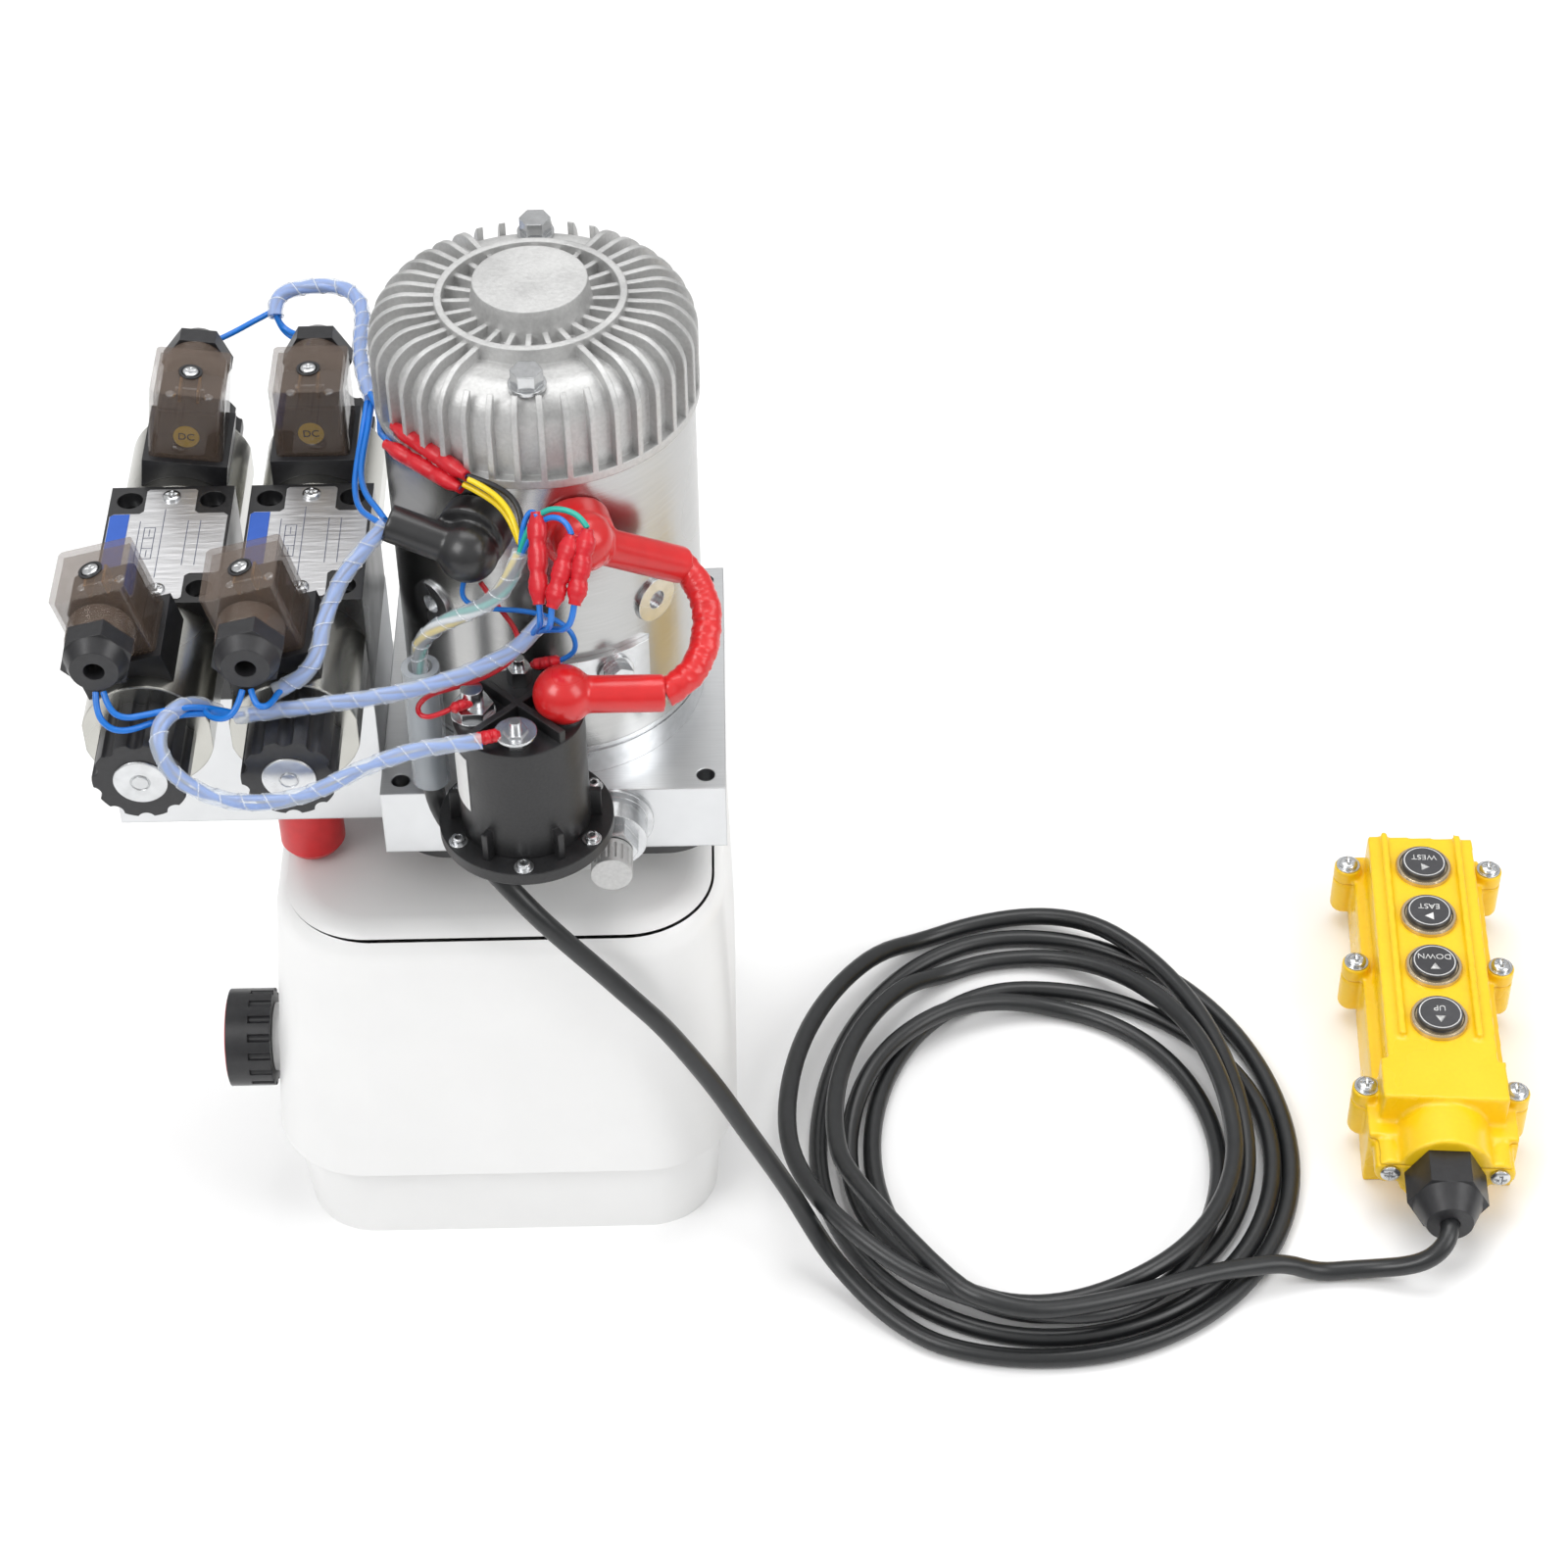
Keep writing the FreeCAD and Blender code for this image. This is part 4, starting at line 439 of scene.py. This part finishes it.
def gap_between(a, b, c, d):
    """Smallest plan distance between two runs."""
    a, b, c, d = (Vector(p[:2]) for p in (a, b, c, d))
    cross = (b - a).cross(d - c)
    if abs(cross) > 1e-9:
        s, t = (c - a).cross(d - c) / cross, (c - a).cross(b - a) / cross
        if 0 <= s <= 1 and 0 <= t <= 1:
            return 0.0
    gaps = []
    for point, start, end in ((a, c, d), (b, c, d), (c, a, b), (d, a, b)):
        run = end - start
        share = min(1.0, max(0.0, (point - start).dot(run) / run.length_squared))
        gaps.append((point - start - run * share).length)
    return min(gaps)


def laid(route, first, last):
    """Lay the turns down in order: each run rests on the floor, or on the earlier runs that it meets."""
    heights = [p[2] for p in route]
    ground = CABLE_RADIUS + FLOOR_CLEARANCE
    for i in range(first, last):
        low = ground
        for j in range(0, i - OWN_RUN):
            gap = gap_between(route[i], route[i + 1], route[j], route[j + 1])
            under = max(heights[j], heights[j + 1])
            if gap < LAY_GAP and under < LIFTED:
                low = max(low, under + math.sqrt(LAY_GAP ** 2 - gap ** 2))
        heights[i] = max(low, heights[i] if i > first else low)
        heights[i + 1] = max(low, ground)
    eased = list(heights)
    for i in range(first, last):
        for j in range(max(first, i - LAY_REACH), min(last, i + LAY_REACH + 1)):
            eased[i] = max(eased[i], heights[j] - LAY_SLOPE * abs(i - j))
    return [(x, y, z) for (x, y, _), z in zip(route, eased)]


TOP_STRAND = ((150.5, -145.5, 12.0), (165.0, -154.0, 12.0), (182.2, -157.0, 12.0), (202.1, -152.5, 12.0),
              (227.5, -143.9, 12.0), (244.0, -137.5, 11.0))
start = [*LEAD, (169.0, -161.5, 4.0)]
route = laid([*start, *coil_plan(), *TOP_STRAND, *TAIL], len(start), len(start) + 5 * TURN_STEPS + 3)
cable = nurbs("pendant_cable", route, CABLE_RADIUS, 4)
cable.data.materials.append(MATERIALS["cable_rubber"])
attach(cable, "base")
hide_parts("cable_lead", "cable_coil", "cable_tail")


# ---------------------------------------------------------------- wiring

LOOMS = {
    "rear": ((-105.5, 89.5, 337.5), (-106, 94.5, 340.5), (-102.5, 98, 343), (-95.5, 99.3, 344.2), (-86.5, 99, 345.2),
             (-78, 96, 345.6), (-72.5, 89, 345.2), (-70.3, 78, 345.3), (-70.4, 64, 345), (-69.4, 50, 345.9),
             (-67, 36.5, 345.8), (-63.5, 25, 345.4)),
    "negative": ((-51.5, -60, 354), (-59.5, -63.5, 346.5), (-67, -68.5, 339.5), (-72.5, -75.5, 332),
                 (-75.5, -84, 326.5), (-76.5, -91.5, 322.5), (-79.5, -97.5, 319), (-85, -101, 316.2), (-92, -103, 314)),
    "across": ((2.9, -80, 326), (-3, -83.5, 319.5), (-13, -88.5, 314.6), (-27.5, -94, 311.6), (-42, -98.5, 310),
               (-58.5, -102.3, 309.4), (-75.5, -105.2, 309.3), (-92, -107.8, 309), (-106, -107, 306.5)),
    "relay": ((-19.7, -114.5, 299), (-29.5, -115.6, 298.8), (-41.5, -117, 298), (-53, -119.8, 296.4),
              (-65, -123.5, 293.4), (-78.5, -128.2, 288.5), (-93.5, -130.4, 286.2), (-108.5, -129.8, 286.3),
              (-121, -128, 291.5), (-129.5, -126.4, 300.5), (-132.5, -119, 310), (-127, -108, 311.5),
              (-119.5, -100.8, 307.6), (-113.9, -98.2, 300.5)),
    "pendant": ((-44, -71.5, 290.6), (-44, -71.7, 298.5), (-43.5, -73.5, 307), (-40.5, -76.5, 315.5),
                (-34.5, -78.5, 322.5), (-27, -79.8, 327.5), (-19, -81.3, 332.5), (-12, -82.6, 339.5),
                (-7, -82.2, 348), (-4, -79.7, 356)),
}
LOOM_WIRES = {
    "rear": ("wire_blue",) * 4, "negative": ("wire_blue",) * 3, "across": ("wire_blue",) * 3,
    "relay": ("wire_blue",) * 2, "pendant": ("wire_yellow", "black_plastic", "wire_green", "white_label"),
}
WRAP_RADIUS, WRAP_STEP, WRAP_PITCH = 2.9, 0.42, 8.5
WRAP_LIP = 0.06
CORE_OFFSET, CORE_RADIUS, CORE_PITCH = 1.55, 1.15, 55.0


def strand(line, offset, phase, pitch):
    """The middle line of a wire that winds round another line."""
    made = []
    for here, side, up, run in frames(line):
        angle = phase + 2 * math.pi * run / pitch
        made.append(here + (side * math.cos(angle) + up * math.sin(angle)) * offset * MM)
    return made


def wrap_radius(run, angle):
    """The spiral wrap is a ramp along its pitch, with a short steep lip."""
    turn = (angle / (2 * math.pi) - run / WRAP_PITCH) % 1.0
    return WRAP_RADIUS + WRAP_STEP * (1 - turn if turn > WRAP_LIP else turn / WRAP_LIP)


MATERIALS["wrap_edge"] = surface("wrap_edge", (0.88, 0.90, 0.93), 0.25, grain=200, tint=0.03, bump=0.02,
                                 Alpha=0.75)
wraps = Build()
wires = Build()
for name, points in LOOMS.items():
    path = line_of(points, 14)
    wraps.tube(path, wrap_radius, "wrap_plastic", 28)
    wraps.tube(strand(path, WRAP_RADIUS + 0.2, 0.4, WRAP_PITCH), 0.2, "wrap_edge", 6)
    kinds = LOOM_WIRES[name]
    for i, kind in enumerate(kinds):
        wires.tube(strand(path[::4], CORE_OFFSET, 2 * math.pi * i / len(kinds), CORE_PITCH), CORE_RADIUS, kind, 10)
wraps.finish("loom_wraps", replaces=("wire_looms",))

FREE_WIRES = (
    ("wire_blue", 1.15, ((-133.4, 77, 334.5), (-129.4, 82, 331.6), (-122, 88, 331.7), (-114.5, 91, 334.5),
                         (-109, 92, 337), (-105.5, 92.5, 339))),
    ("wire_blue", 1.15, ((-90.8, 76, 334), (-95.5, 82, 331), (-100.9, 86, 331), (-104.2, 88, 334.5),
                         (-105.5, 90, 338.5))),
    ("wire_blue", 1.15, ((-89.8, 77, 336), (-96.5, 83, 333), (-101.9, 87, 333), (-104.8, 89, 336), (-106, 91, 340))),
    ("wire_blue", 1.15, ((-64.5, 28, 346.5), (-62, 17, 350), (-58.5, 5, 356), (-55, -10, 364), (-51.5, -22, 371),
                         (-48, -29, 373.5))),
    ("wire_blue", 1.15, ((-63, 28, 346), (-60.5, 16, 347), (-58.5, 4, 351), (-57, -12, 358), (-54.5, -25, 366),
                         (-51, -33, 368.5))),
    ("wire_blue", 1.15, ((-63.5, 28, 344), (-64, 14, 342), (-65, -2, 342), (-65, -18, 343), (-61.5, -36, 348),
                         (-55.5, -50, 352), (-52.5, -58, 354))),
    ("wire_blue", 1.15, ((-65, 28, 345), (-66.5, 12, 340), (-67.5, -6, 339), (-67, -24, 341), (-63.5, -42, 346),
                         (-57, -54, 351), (-53.5, -60, 353.5))),
    ("wire_yellow", 1.05, ((-24, -56.5, 368), (-17.5, -60.5, 367), (-10.5, -64.5, 363.5), (-6.5, -70, 359),
                           (-4.5, -76, 357))),
    ("wire_yellow", 1.05, ((-22, -58, 371.5), (-15, -62, 370), (-9, -66, 366), (-5.5, -71.5, 361), (-4, -77.5, 357.5))),
    ("black_plastic", 1.05, ((-22.2, -57, 372), (-14, -60, 371), (-6, -63.5, 367), (-3, -70, 361.5), (-3.5, -77, 357))),
    ("wire_blue", 1.05, ((-4, -79, 354.5), (-3.5, -76.5, 361), (-1.5, -73, 366.5), (1, -72.5, 368.5), (2.5, -76, 368))),
    ("wire_green", 1.05, ((-4.5, -80, 355), (-1.5, -76, 363), (5, -74, 370), (12, -76.5, 372), (18, -80, 371),
                          (20, -83, 368.5))),
    ("wire_blue", 1.05, ((-4, -80.5, 354), (-0.5, -77, 361), (4.5, -75.5, 367), (9.5, -77.5, 369.5),
                         (13.5, -81, 368.5), (14.5, -83.5, 366))),
    ("wire_blue", 1.15, ((2.5, -95, 346), (2.6, -96.5, 340), (2, -93.5, 334), (0.5, -88, 328.5), (-1.5, -84, 322))),
    ("wire_blue", 1.15, ((7, -98, 347), (6.5, -99, 341), (5.5, -96, 335), (3.5, -89.5, 329), (0, -84, 323))),
    ("wire_blue", 1.15, ((15, -99, 349), (14, -100.5, 342), (11, -98, 335.5), (7, -91, 330), (1.5, -84.5, 324))),
    ("wire_blue", 1.15, ((-152.5, -110.5, 322), (-152.5, -116, 317), (-148, -119.5, 312.5), (-142, -118.5, 310.5),
                         (-134, -113, 309.5), (-125, -108.5, 309), (-113, -106.5, 307.5), (-105, -107, 306.5))),
    ("wire_blue", 1.15, ((-149.8, -110.5, 322), (-148, -115.5, 318), (-143, -117, 315), (-136, -113.5, 313.5),
                         (-127, -109, 312), (-117, -106, 310.5), (-107, -106, 307))),
    ("wire_blue", 1.15, ((-101.5, -111, 322), (-103, -116, 318.5), (-107, -118, 315), (-112, -115, 312.5),
                         (-116, -110, 311), (-115, -106.5, 309), (-108, -106, 307))),
    ("wire_blue", 1.15, ((-98.5, -111, 322), (-97, -116, 319.5), (-93.5, -116.5, 318.5), (-91, -111, 317),
                         (-90.5, -105.5, 315.5), (-88, -102, 315))),
    ("wire_red", 0.95, ((-31, -98, 300), (-37, -102.5, 300), (-42, -102, 300), (-43.5, -97, 300.5), (-39, -93, 302.5),
                        (-30, -91.5, 304), (-20, -89, 306), (-11, -84, 308), (-7, -78.5, 311), (-8, -74.5, 316),
                        (-13, -71, 322), (-17, -68.5, 327), (-20, -67, 332))),
    ("wire_blue", 0.95, ((-25, -66.5, 335), (-27.5, -68.5, 329), (-24.5, -71.5, 325.5), (-16, -73, 324.5),
                         (-5, -74, 324.5), (5, -75.5, 322.5), (11.5, -77.5, 318), (13.5, -79.5, 312.5),
                         (11.5, -80, 308), (7, -79, 305))),
    ("wire_blue", 0.95, ((-118, -99.5, 303), (-114.5, -103.5, 303.5), (-109, -105.5, 305), (-103, -106, 306.5))),
)
for kind, radius, points in FREE_WIRES:
    wires.tube(line_of(points, 8), radius, kind, 12)
wires.finish("loom_wires")


def crimp(build, start, end, radius):
    """A shrunk sleeve over a crimped joint: slim ends, a swollen middle and two pressed waists."""
    start, end = Vector(start) * MM, Vector(end) * MM
    count = 36
    line = [start.lerp(end, i / count) for i in range(count + 1)]
    length = (end - start).length / MM

    def shape(run, angle):
        t = run / length
        body = 0.62 + 0.38 * min(1.0, max(0.0, (min(t, 1 - t) - 0.04) * 9))
        waist = sum(0.22 * math.exp(-((t - at) / 0.05) ** 2) for at in (0.34, 0.66))
        flat = 1 - 0.16 * math.cos(2 * angle)
        wrinkle = 0.03 * math.sin(run * 2.9 + 3 * math.cos(angle))
        return radius * (body - waist * abs(math.sin(angle)) + wrinkle) * flat

    build.tube(line, shape, "wire_red", 24)


crimps = Build()
for start, end, radius in (
        ((-49.5, -30, 374), (-22.5, -56.5, 371.5), 3.5), ((-52.5, -33.5, 368.5), (-25, -57, 366.5), 3.5),
        ((2.2, -73.5, 368.5), (2.4, -95.5, 345), 3.3), ((14.6, -84, 366.5), (7, -98.5, 346), 3.3),
        ((20.2, -84, 369), (15, -99.5, 348), 3.3), ((-22.5, -113.8, 299), (-13.5, -111.2, 299), 2.9),
        ((-31.5, -98.5, 300), (-23.5, -94.5, 300.3), 2.4), ((7.5, -79.3, 305.3), (-3, -77, 301.5), 2.6)):
    crimps.tube([Vector(start) * MM, Vector(end) * MM], 1.2, "wire_blue", 8)
    crimp(crimps, start, end, radius)
crimps.lathe([(3.2, 0), (7.6, 0), (7.6, 0.9), (3.2, 0.9)], Vector((-8, -110, 298.4)) * MM, (0, 0, 1),
             "zinc_steel", 32)
crimps.finish("crimp_sleeves")


# ---------------------------------------------------------------- terminal boots and power cable


def pleats(run, angle):
    """Shrunk sleeve on the power cable: irregular pleats across it."""
    fold = noise.noise(Vector((run * 0.33, math.cos(angle) * 0.8, math.sin(angle) * 0.8)))
    fine = noise.noise(Vector((run * 0.9, math.cos(angle) * 1.6, math.sin(angle) * 1.6)))
    return 5.3 + 0.55 * fold + 0.3 * fine


power = Build()
POWER_ROUTE = ((51.5, -53, 326.5), (55.9, -57, 323.5), (58.9, -62, 319.6), (60.2, -69, 314.6), (59.4, -76, 309.9),
               (56.4, -83, 305.5), (51.4, -88.5, 301.8), (44.5, -91.5, 299.5))
power.tube(line_of(POWER_ROUTE, 16), pleats, "red_rubber", 40)
power.finish("power_cable_sleeve", replaces=("power_cable",))
soften("terminal_boots_red", 0.7, 10, "red_rubber")
soften("terminal_boot_black", 0.7, 10, "black_rubber")


# ---------------------------------------------------------------- screws and small hardware


CROSS_WIDTH, CROSS_REACH, CROSS_DEPTH = 0.15, 0.62, 0.55
LETTER_RISE = 0.12


def phillips(build, at, axis, radius, height, matrix):
    """A pan head with a real cross recess, at a point in mm in a frame of its own."""
    spin = Vector(axis).to_track_quat("Z", "Y").to_matrix().to_4x4()
    place = matrix @ Matrix.Translation(Vector(at) * MM) @ spin
    rings, sides = 14, 56
    verts = []
    for ring_no in range(rings + 1):
        share = ring_no / rings
        for step in range(sides):
            angle = 2 * math.pi * step / sides
            x, y = share * radius * math.cos(angle), share * radius * math.sin(angle)
            z = height * math.sqrt(max(0.0, 1 - 0.75 * share ** 3))
            arm = min(abs(x), abs(y)) / radius
            reach = max(abs(x), abs(y)) / radius
            if arm < CROSS_WIDTH and reach < CROSS_REACH:
                z -= CROSS_DEPTH * height * (1 - reach)
            verts.append(place @ (Vector((x, y, z)) * MM))
    for step in range(sides):
        angle = 2 * math.pi * step / sides
        verts.append(place @ (Vector((radius * math.cos(angle), radius * math.sin(angle), 0)) * MM))
    faces = []
    for row in range(rings + 1):
        for step in range(sides):
            a, b = row * sides + step, row * sides + (step + 1) % sides
            faces.append((a, a + sides, b + sides, b))
    faces.append(tuple((rings + 1) * sides + (sides - 1 - i) for i in range(sides)))
    build.add(verts, faces, "zinc_steel")


def lettering(build, text, size, slot, matrix):
    """Generic words as thin raised letters, centred on the frame's origin."""
    curve = bpy.data.curves.new("letters", "FONT")
    curve.body = text
    curve.size = size * MM
    curve.extrude = LETTER_RISE * MM
    curve.align_x = "CENTER"
    curve.align_y = "CENTER"
    temp = bpy.data.objects.new("letters", curve)
    bpy.context.collection.objects.link(temp)
    bpy.context.view_layer.update()
    mesh = bpy.data.meshes.new_from_object(temp.evaluated_get(bpy.context.evaluated_depsgraph_get()))
    build.add([matrix @ v.co for v in mesh.vertices], [tuple(p.vertices) for p in mesh.polygons], slot)
    bpy.data.objects.remove(temp)
    bpy.data.curves.remove(curve)
    bpy.data.meshes.remove(mesh)


# ---------------------------------------------------------------- valve connectors, nuts and nameplates

VALVES_X = LEFT_X, RIGHT_X = (-140.3, -88.0)
AXIS_Z, VALVE_Y, VALVE_TOP = 288.5, -17.0, 312.0
PLUG_Y, NUT_Y = 57, 103.5
LEANS = {(LEFT_X, -1): -14.5, (RIGHT_X, -1): -14.5, (LEFT_X, 1): 8.0, (RIGHT_X, 1): 0.0}
hardware = Build()
inside = Build()
necks = Build()
for (x, sign), lean in LEANS.items():
    place = (Matrix.Translation(Vector((x, VALVE_Y + sign * PLUG_Y, AXIS_Z)) * MM)
             @ Matrix.Rotation(math.radians(lean), 4, "Y")
             @ Matrix.Rotation(0.0 if sign > 0 else math.pi, 4, "Z"))
    turned = place.to_3x3()
    hardware.lathe([(4.4, 0), (4.4, 0.5), (3.4, 0.5), (3.2, 0.1), (0, 0.1)], place @ (Vector((0, 0, 60)) * MM),
                   turned @ Vector((0, 0, 1)), "black_plastic", 40)
    phillips(hardware, (0, 0, 60.2), (0, 0, 1), 2.9, 0.9, place)
    ribs = [(11.5, 0)]
    for step in range(7):
        level = 0.6 + step * 1.3
        ribs += [(11.6, level), (12.1, level + 0.25), (12.1, level + 0.65), (11.6, level + 0.9)]
    ribs.append((11.5, 9.9))
    ribs += [(8.7, 9.9), (8.7, 0)]
    necks.lathe(ribs, place @ (Vector((0, 14.6, 45)) * MM), turned @ Vector((0, 1, 0)), "smoke_plastic", 56)
    inside.block((-11.2, -11.4, 38.05), (11.2, 11.2, 51.0), "black_plastic", place, 1.2)
    inside.block((-11.0, -12.2, 30.5), (11.0, -11.2, 50.0), "black_plastic", place, 0.3)
    for side in (-1, 1):
        phillips(inside, (side * 7.0, -3, 51.05), (0, 0, 1), 2.0, 1.0, place)
        inside.block((side * 3.4 - 0.5, -6.5, 51.0), (side * 3.4 + 0.5, 3.0, 56.5), "brass", place)
    inside.block((-5.5, -1.6, 52.0), (5.5, -0.6, 53.4), "zinc_steel", place)
    inside.lathe([(0, 0), (4.9, 0), (4.9, 0.3), (0, 0.3)], place @ (Vector((0, -12.25, 39.2)) * MM),
                 turned @ Vector((0, -1, 0)), "yellow_plastic", 48)
    badge = place @ Matrix.Translation(Vector((0, -12.62, 39.2)) * MM) @ Matrix.Rotation(math.pi / 2, 4, "X")
    lettering(inside, "DC", 4.4, "black_plastic", badge)
    end_y = VALVE_Y + sign * NUT_Y
    hardware.lathe([(9.6, 0), (9.6, 0.5), (9.2, 0.8), (3.6, 0.8), (3.3, 0.4), (3.0, 0.4), (2.8, 1.0), (1.4, 1.2),
                    (0, 1.2)], Vector((x, end_y, AXIS_Z)) * MM, (0, sign, 0), "zinc_steel", 56)
hardware.finish("connector_screws")
inside.finish("connector_inserts")
necks.finish("connector_necks")

MATERIALS["plate_blue"] = surface("plate_blue", (0.02, 0.09, 0.42), 0.35, grain=300, tint=0.05, bump=0.03)
MATERIALS["plate_ink"] = surface("plate_ink", (0.10, 0.11, 0.16), 0.45, grain=300, tint=0.1, bump=0.03)
MATERIALS["plate_foil"] = surface("plate_foil", (0.72, 0.72, 0.73), 0.30, 0.9, 0.06, 70, (1, 6, 1), 0.35, 0.0006,
                                  bevel=0.0002)
plates = Build()
for x in VALVES_X:
    at = Matrix.Translation(Vector((x, VALVE_Y, VALVE_TOP + 0.02)) * MM)
    cross = [(-8.5, -32), (8.5, -32), (9.5, -31), (9.5, -19), (11, -17.5), (20.5, -17.5), (22, -16), (22, 16),
             (20.5, 17.5), (11, 17.5), (9.5, 19), (9.5, 31), (8.5, 32), (-8.5, 32), (-9.5, 31), (-9.5, 19), (-11, 17.5),
             (-20.5, 17.5), (-22, 16), (-22, -16), (-20.5, -17.5), (-11, -17.5), (-9.5, -19), (-9.5, -31)]
    plates.prism(cross, 0, 0.35, "plate_foil", at)
    plates.prism([(-21.8, -16), (-14.5, -16), (-14.5, 17.2), (-20.5, 17.2), (-21.8, 16)], 0.37, 0.45,
                 "plate_blue", at)
    for low, high in (((-10.2, -13), (-9.9, 13)), ((-1.6, -20), (-1.3, 20)), ((7.6, -13), (7.9, 13)),
                      ((12.2, -13), (12.5, 13)), ((-8.2, -9), (-7.9, 9)), ((-4.2, -9), (-3.9, 9)),
                      ((-8.2, -9.2), (-3.9, -8.9)), ((-8.2, 8.9), (-3.9, 9.2)), ((-8.2, -3.1), (-3.9, -2.8)),
                      ((-8.2, 2.9), (-3.9, 3.2)), ((-6.2, -8), (-5.9, -4)), ((-6.2, 4), (-5.9, 8))):
        plates.block((*low, 0.37), (*high, 0.43), "plate_ink", at)
    for side in (-1, 1):
        phillips(plates, (0, side * 27.2, 0.35), (0, 0, 1), 3.4, 1.6, at)
plates.finish("valve_nameplates")


# ---------------------------------------------------------------- pendant

PENDANT = Matrix.Translation(Vector((366, 25.5, 0)) * MM) @ Matrix.Rotation(math.radians(-4.5), 4, "Z")
BUTTONS = {"up": -45.6, "down": -15.2, "east": 15.2, "west": 45.6}
MATERIALS["amber_rim"] = surface("amber_rim", (0.62, 0.50, 0.33), 0.16, 0.85, 0.08, 100, bump=0.02, bevel=0.0003)
soften("pendant_cover", 0.8, 4, "yellow_plastic")
soften("pendant_base", 0.8, 4, "yellow_plastic")
rims = Build()
for word, y in BUTTONS.items():
    rims.lathe([(10.1, 0), (12.2, 0), (12.2, 1.9), (11.6, 2.7), (10.6, 2.7), (10.1, 2.2)],
               PENDANT @ (Vector((0, y, 43.9)) * MM), (0, 0, 1), "amber_rim", 56)
    face = Build()
    face.lathe([(8.9, 0), (8.9, 0.15), (8.4, 0.15), (8.4, 0)], PENDANT @ (Vector((0, y, 48.45)) * MM), (0, 0, 1),
               "white_label", 56)
    readable = PENDANT @ Matrix.Translation(Vector((0, y + 2.6, 48.6)) * MM) @ Matrix.Rotation(math.pi, 4, "Z")
    lettering(face, word.upper(), 4.3, "white_label", readable)
    mark = PENDANT @ Matrix.Translation(Vector((0, y - 3.4, 48.5)) * MM) @ Matrix.Rotation(
        {"up": math.pi, "down": 0.0, "east": math.pi / 2, "west": -math.pi / 2}[word], 4, "Z")
    face.prism([(-2.2, -1.6), (2.2, -1.6), (0, 2.2)], 0, 0.14, "white_label", mark)
    face.finish(f"button_{word}_marks", f"button_{word}")
rims.finish("button_rims")
heads = Build()
for x in (-31, 31):
    for y in (57.5, -2.7, -75):
        spot = (x, y, 33.0)
        heads.lathe([(5.2, 0), (5.2, 0.7), (1, 0.7)], PENDANT @ (Vector(spot) * MM), (0, 0, 1), "zinc_steel", 40)
        phillips(heads, (x, y, 33.7), (0, 0, 1), 4.1, 2.3, PENDANT)
for x in (-22.5, 22.5):
    phillips(heads, (x, -112, 22), (0, -1, 0), 4.1, 2.6, PENDANT)
heads.finish("pendant_screw_heads", replaces=("pendant_screws",))


# ---------------------------------------------------------------- relay and filler cap

relay = Build()
RELAY = (-8.0, -93.0)
for step in range(6):
    angle = math.radians(30 + 60 * step)
    at = Vector((RELAY[0] + 28 * math.cos(angle), RELAY[1] + 28 * math.sin(angle), 243)) * MM
    relay.lathe([(3.6, 0), (3.6, 0.5), (2.5, 0.6), (2.5, 2.2), (2.0, 2.5), (1.2, 2.5), (1.1, 1.4), (0, 1.4)],
                at, (0, 0, 1), "zinc_steel", 32)
COLUMNS = 12
label = [Vector((RELAY[0] + radius * math.cos(angle), RELAY[1] + radius * math.sin(angle), z)) * MM
         for radius in (23.95, 23.75) for z in (259, 284)
         for angle in (math.radians(186 + 3 * column) for column in range(COLUMNS))]
OUT_LOW, OUT_HIGH, IN_LOW, IN_HIGH = (COLUMNS * row for row in range(4))
faces = [(k + a, k + b, k + c, k + d) for a, b, c, d in (
    (OUT_LOW, OUT_LOW + 1, OUT_HIGH + 1, OUT_HIGH), (IN_LOW + 1, IN_LOW, IN_HIGH, IN_HIGH + 1),
    (OUT_LOW + 1, OUT_LOW, IN_LOW, IN_LOW + 1), (OUT_HIGH, OUT_HIGH + 1, IN_HIGH + 1, IN_HIGH),
) for k in range(COLUMNS - 1)]
END = COLUMNS - 1
faces += [(OUT_LOW, OUT_HIGH, IN_HIGH, IN_LOW), (OUT_HIGH + END, OUT_LOW + END, IN_LOW + END, IN_HIGH + END)]
relay.add(label, faces, "white_label")
relay.finish("relay_details")

low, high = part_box("filler_cap")
cap_middle = (Vector(low) + Vector(high)) / 2
cap_radius = (high[2] - low[2]) / 2 / MM
ring = Build()
ring.lathe([(cap_radius - 3.4, -0.2), (cap_radius - 3.4, 0.5), (cap_radius - 1.6, 0.5), (cap_radius - 1.2, -0.2)],
           Vector((low[0], cap_middle.y, cap_middle.z)), (-1, 0, 0), "red_plastic", 72)
ring.finish("filler_cap_ring", "filler_cap")
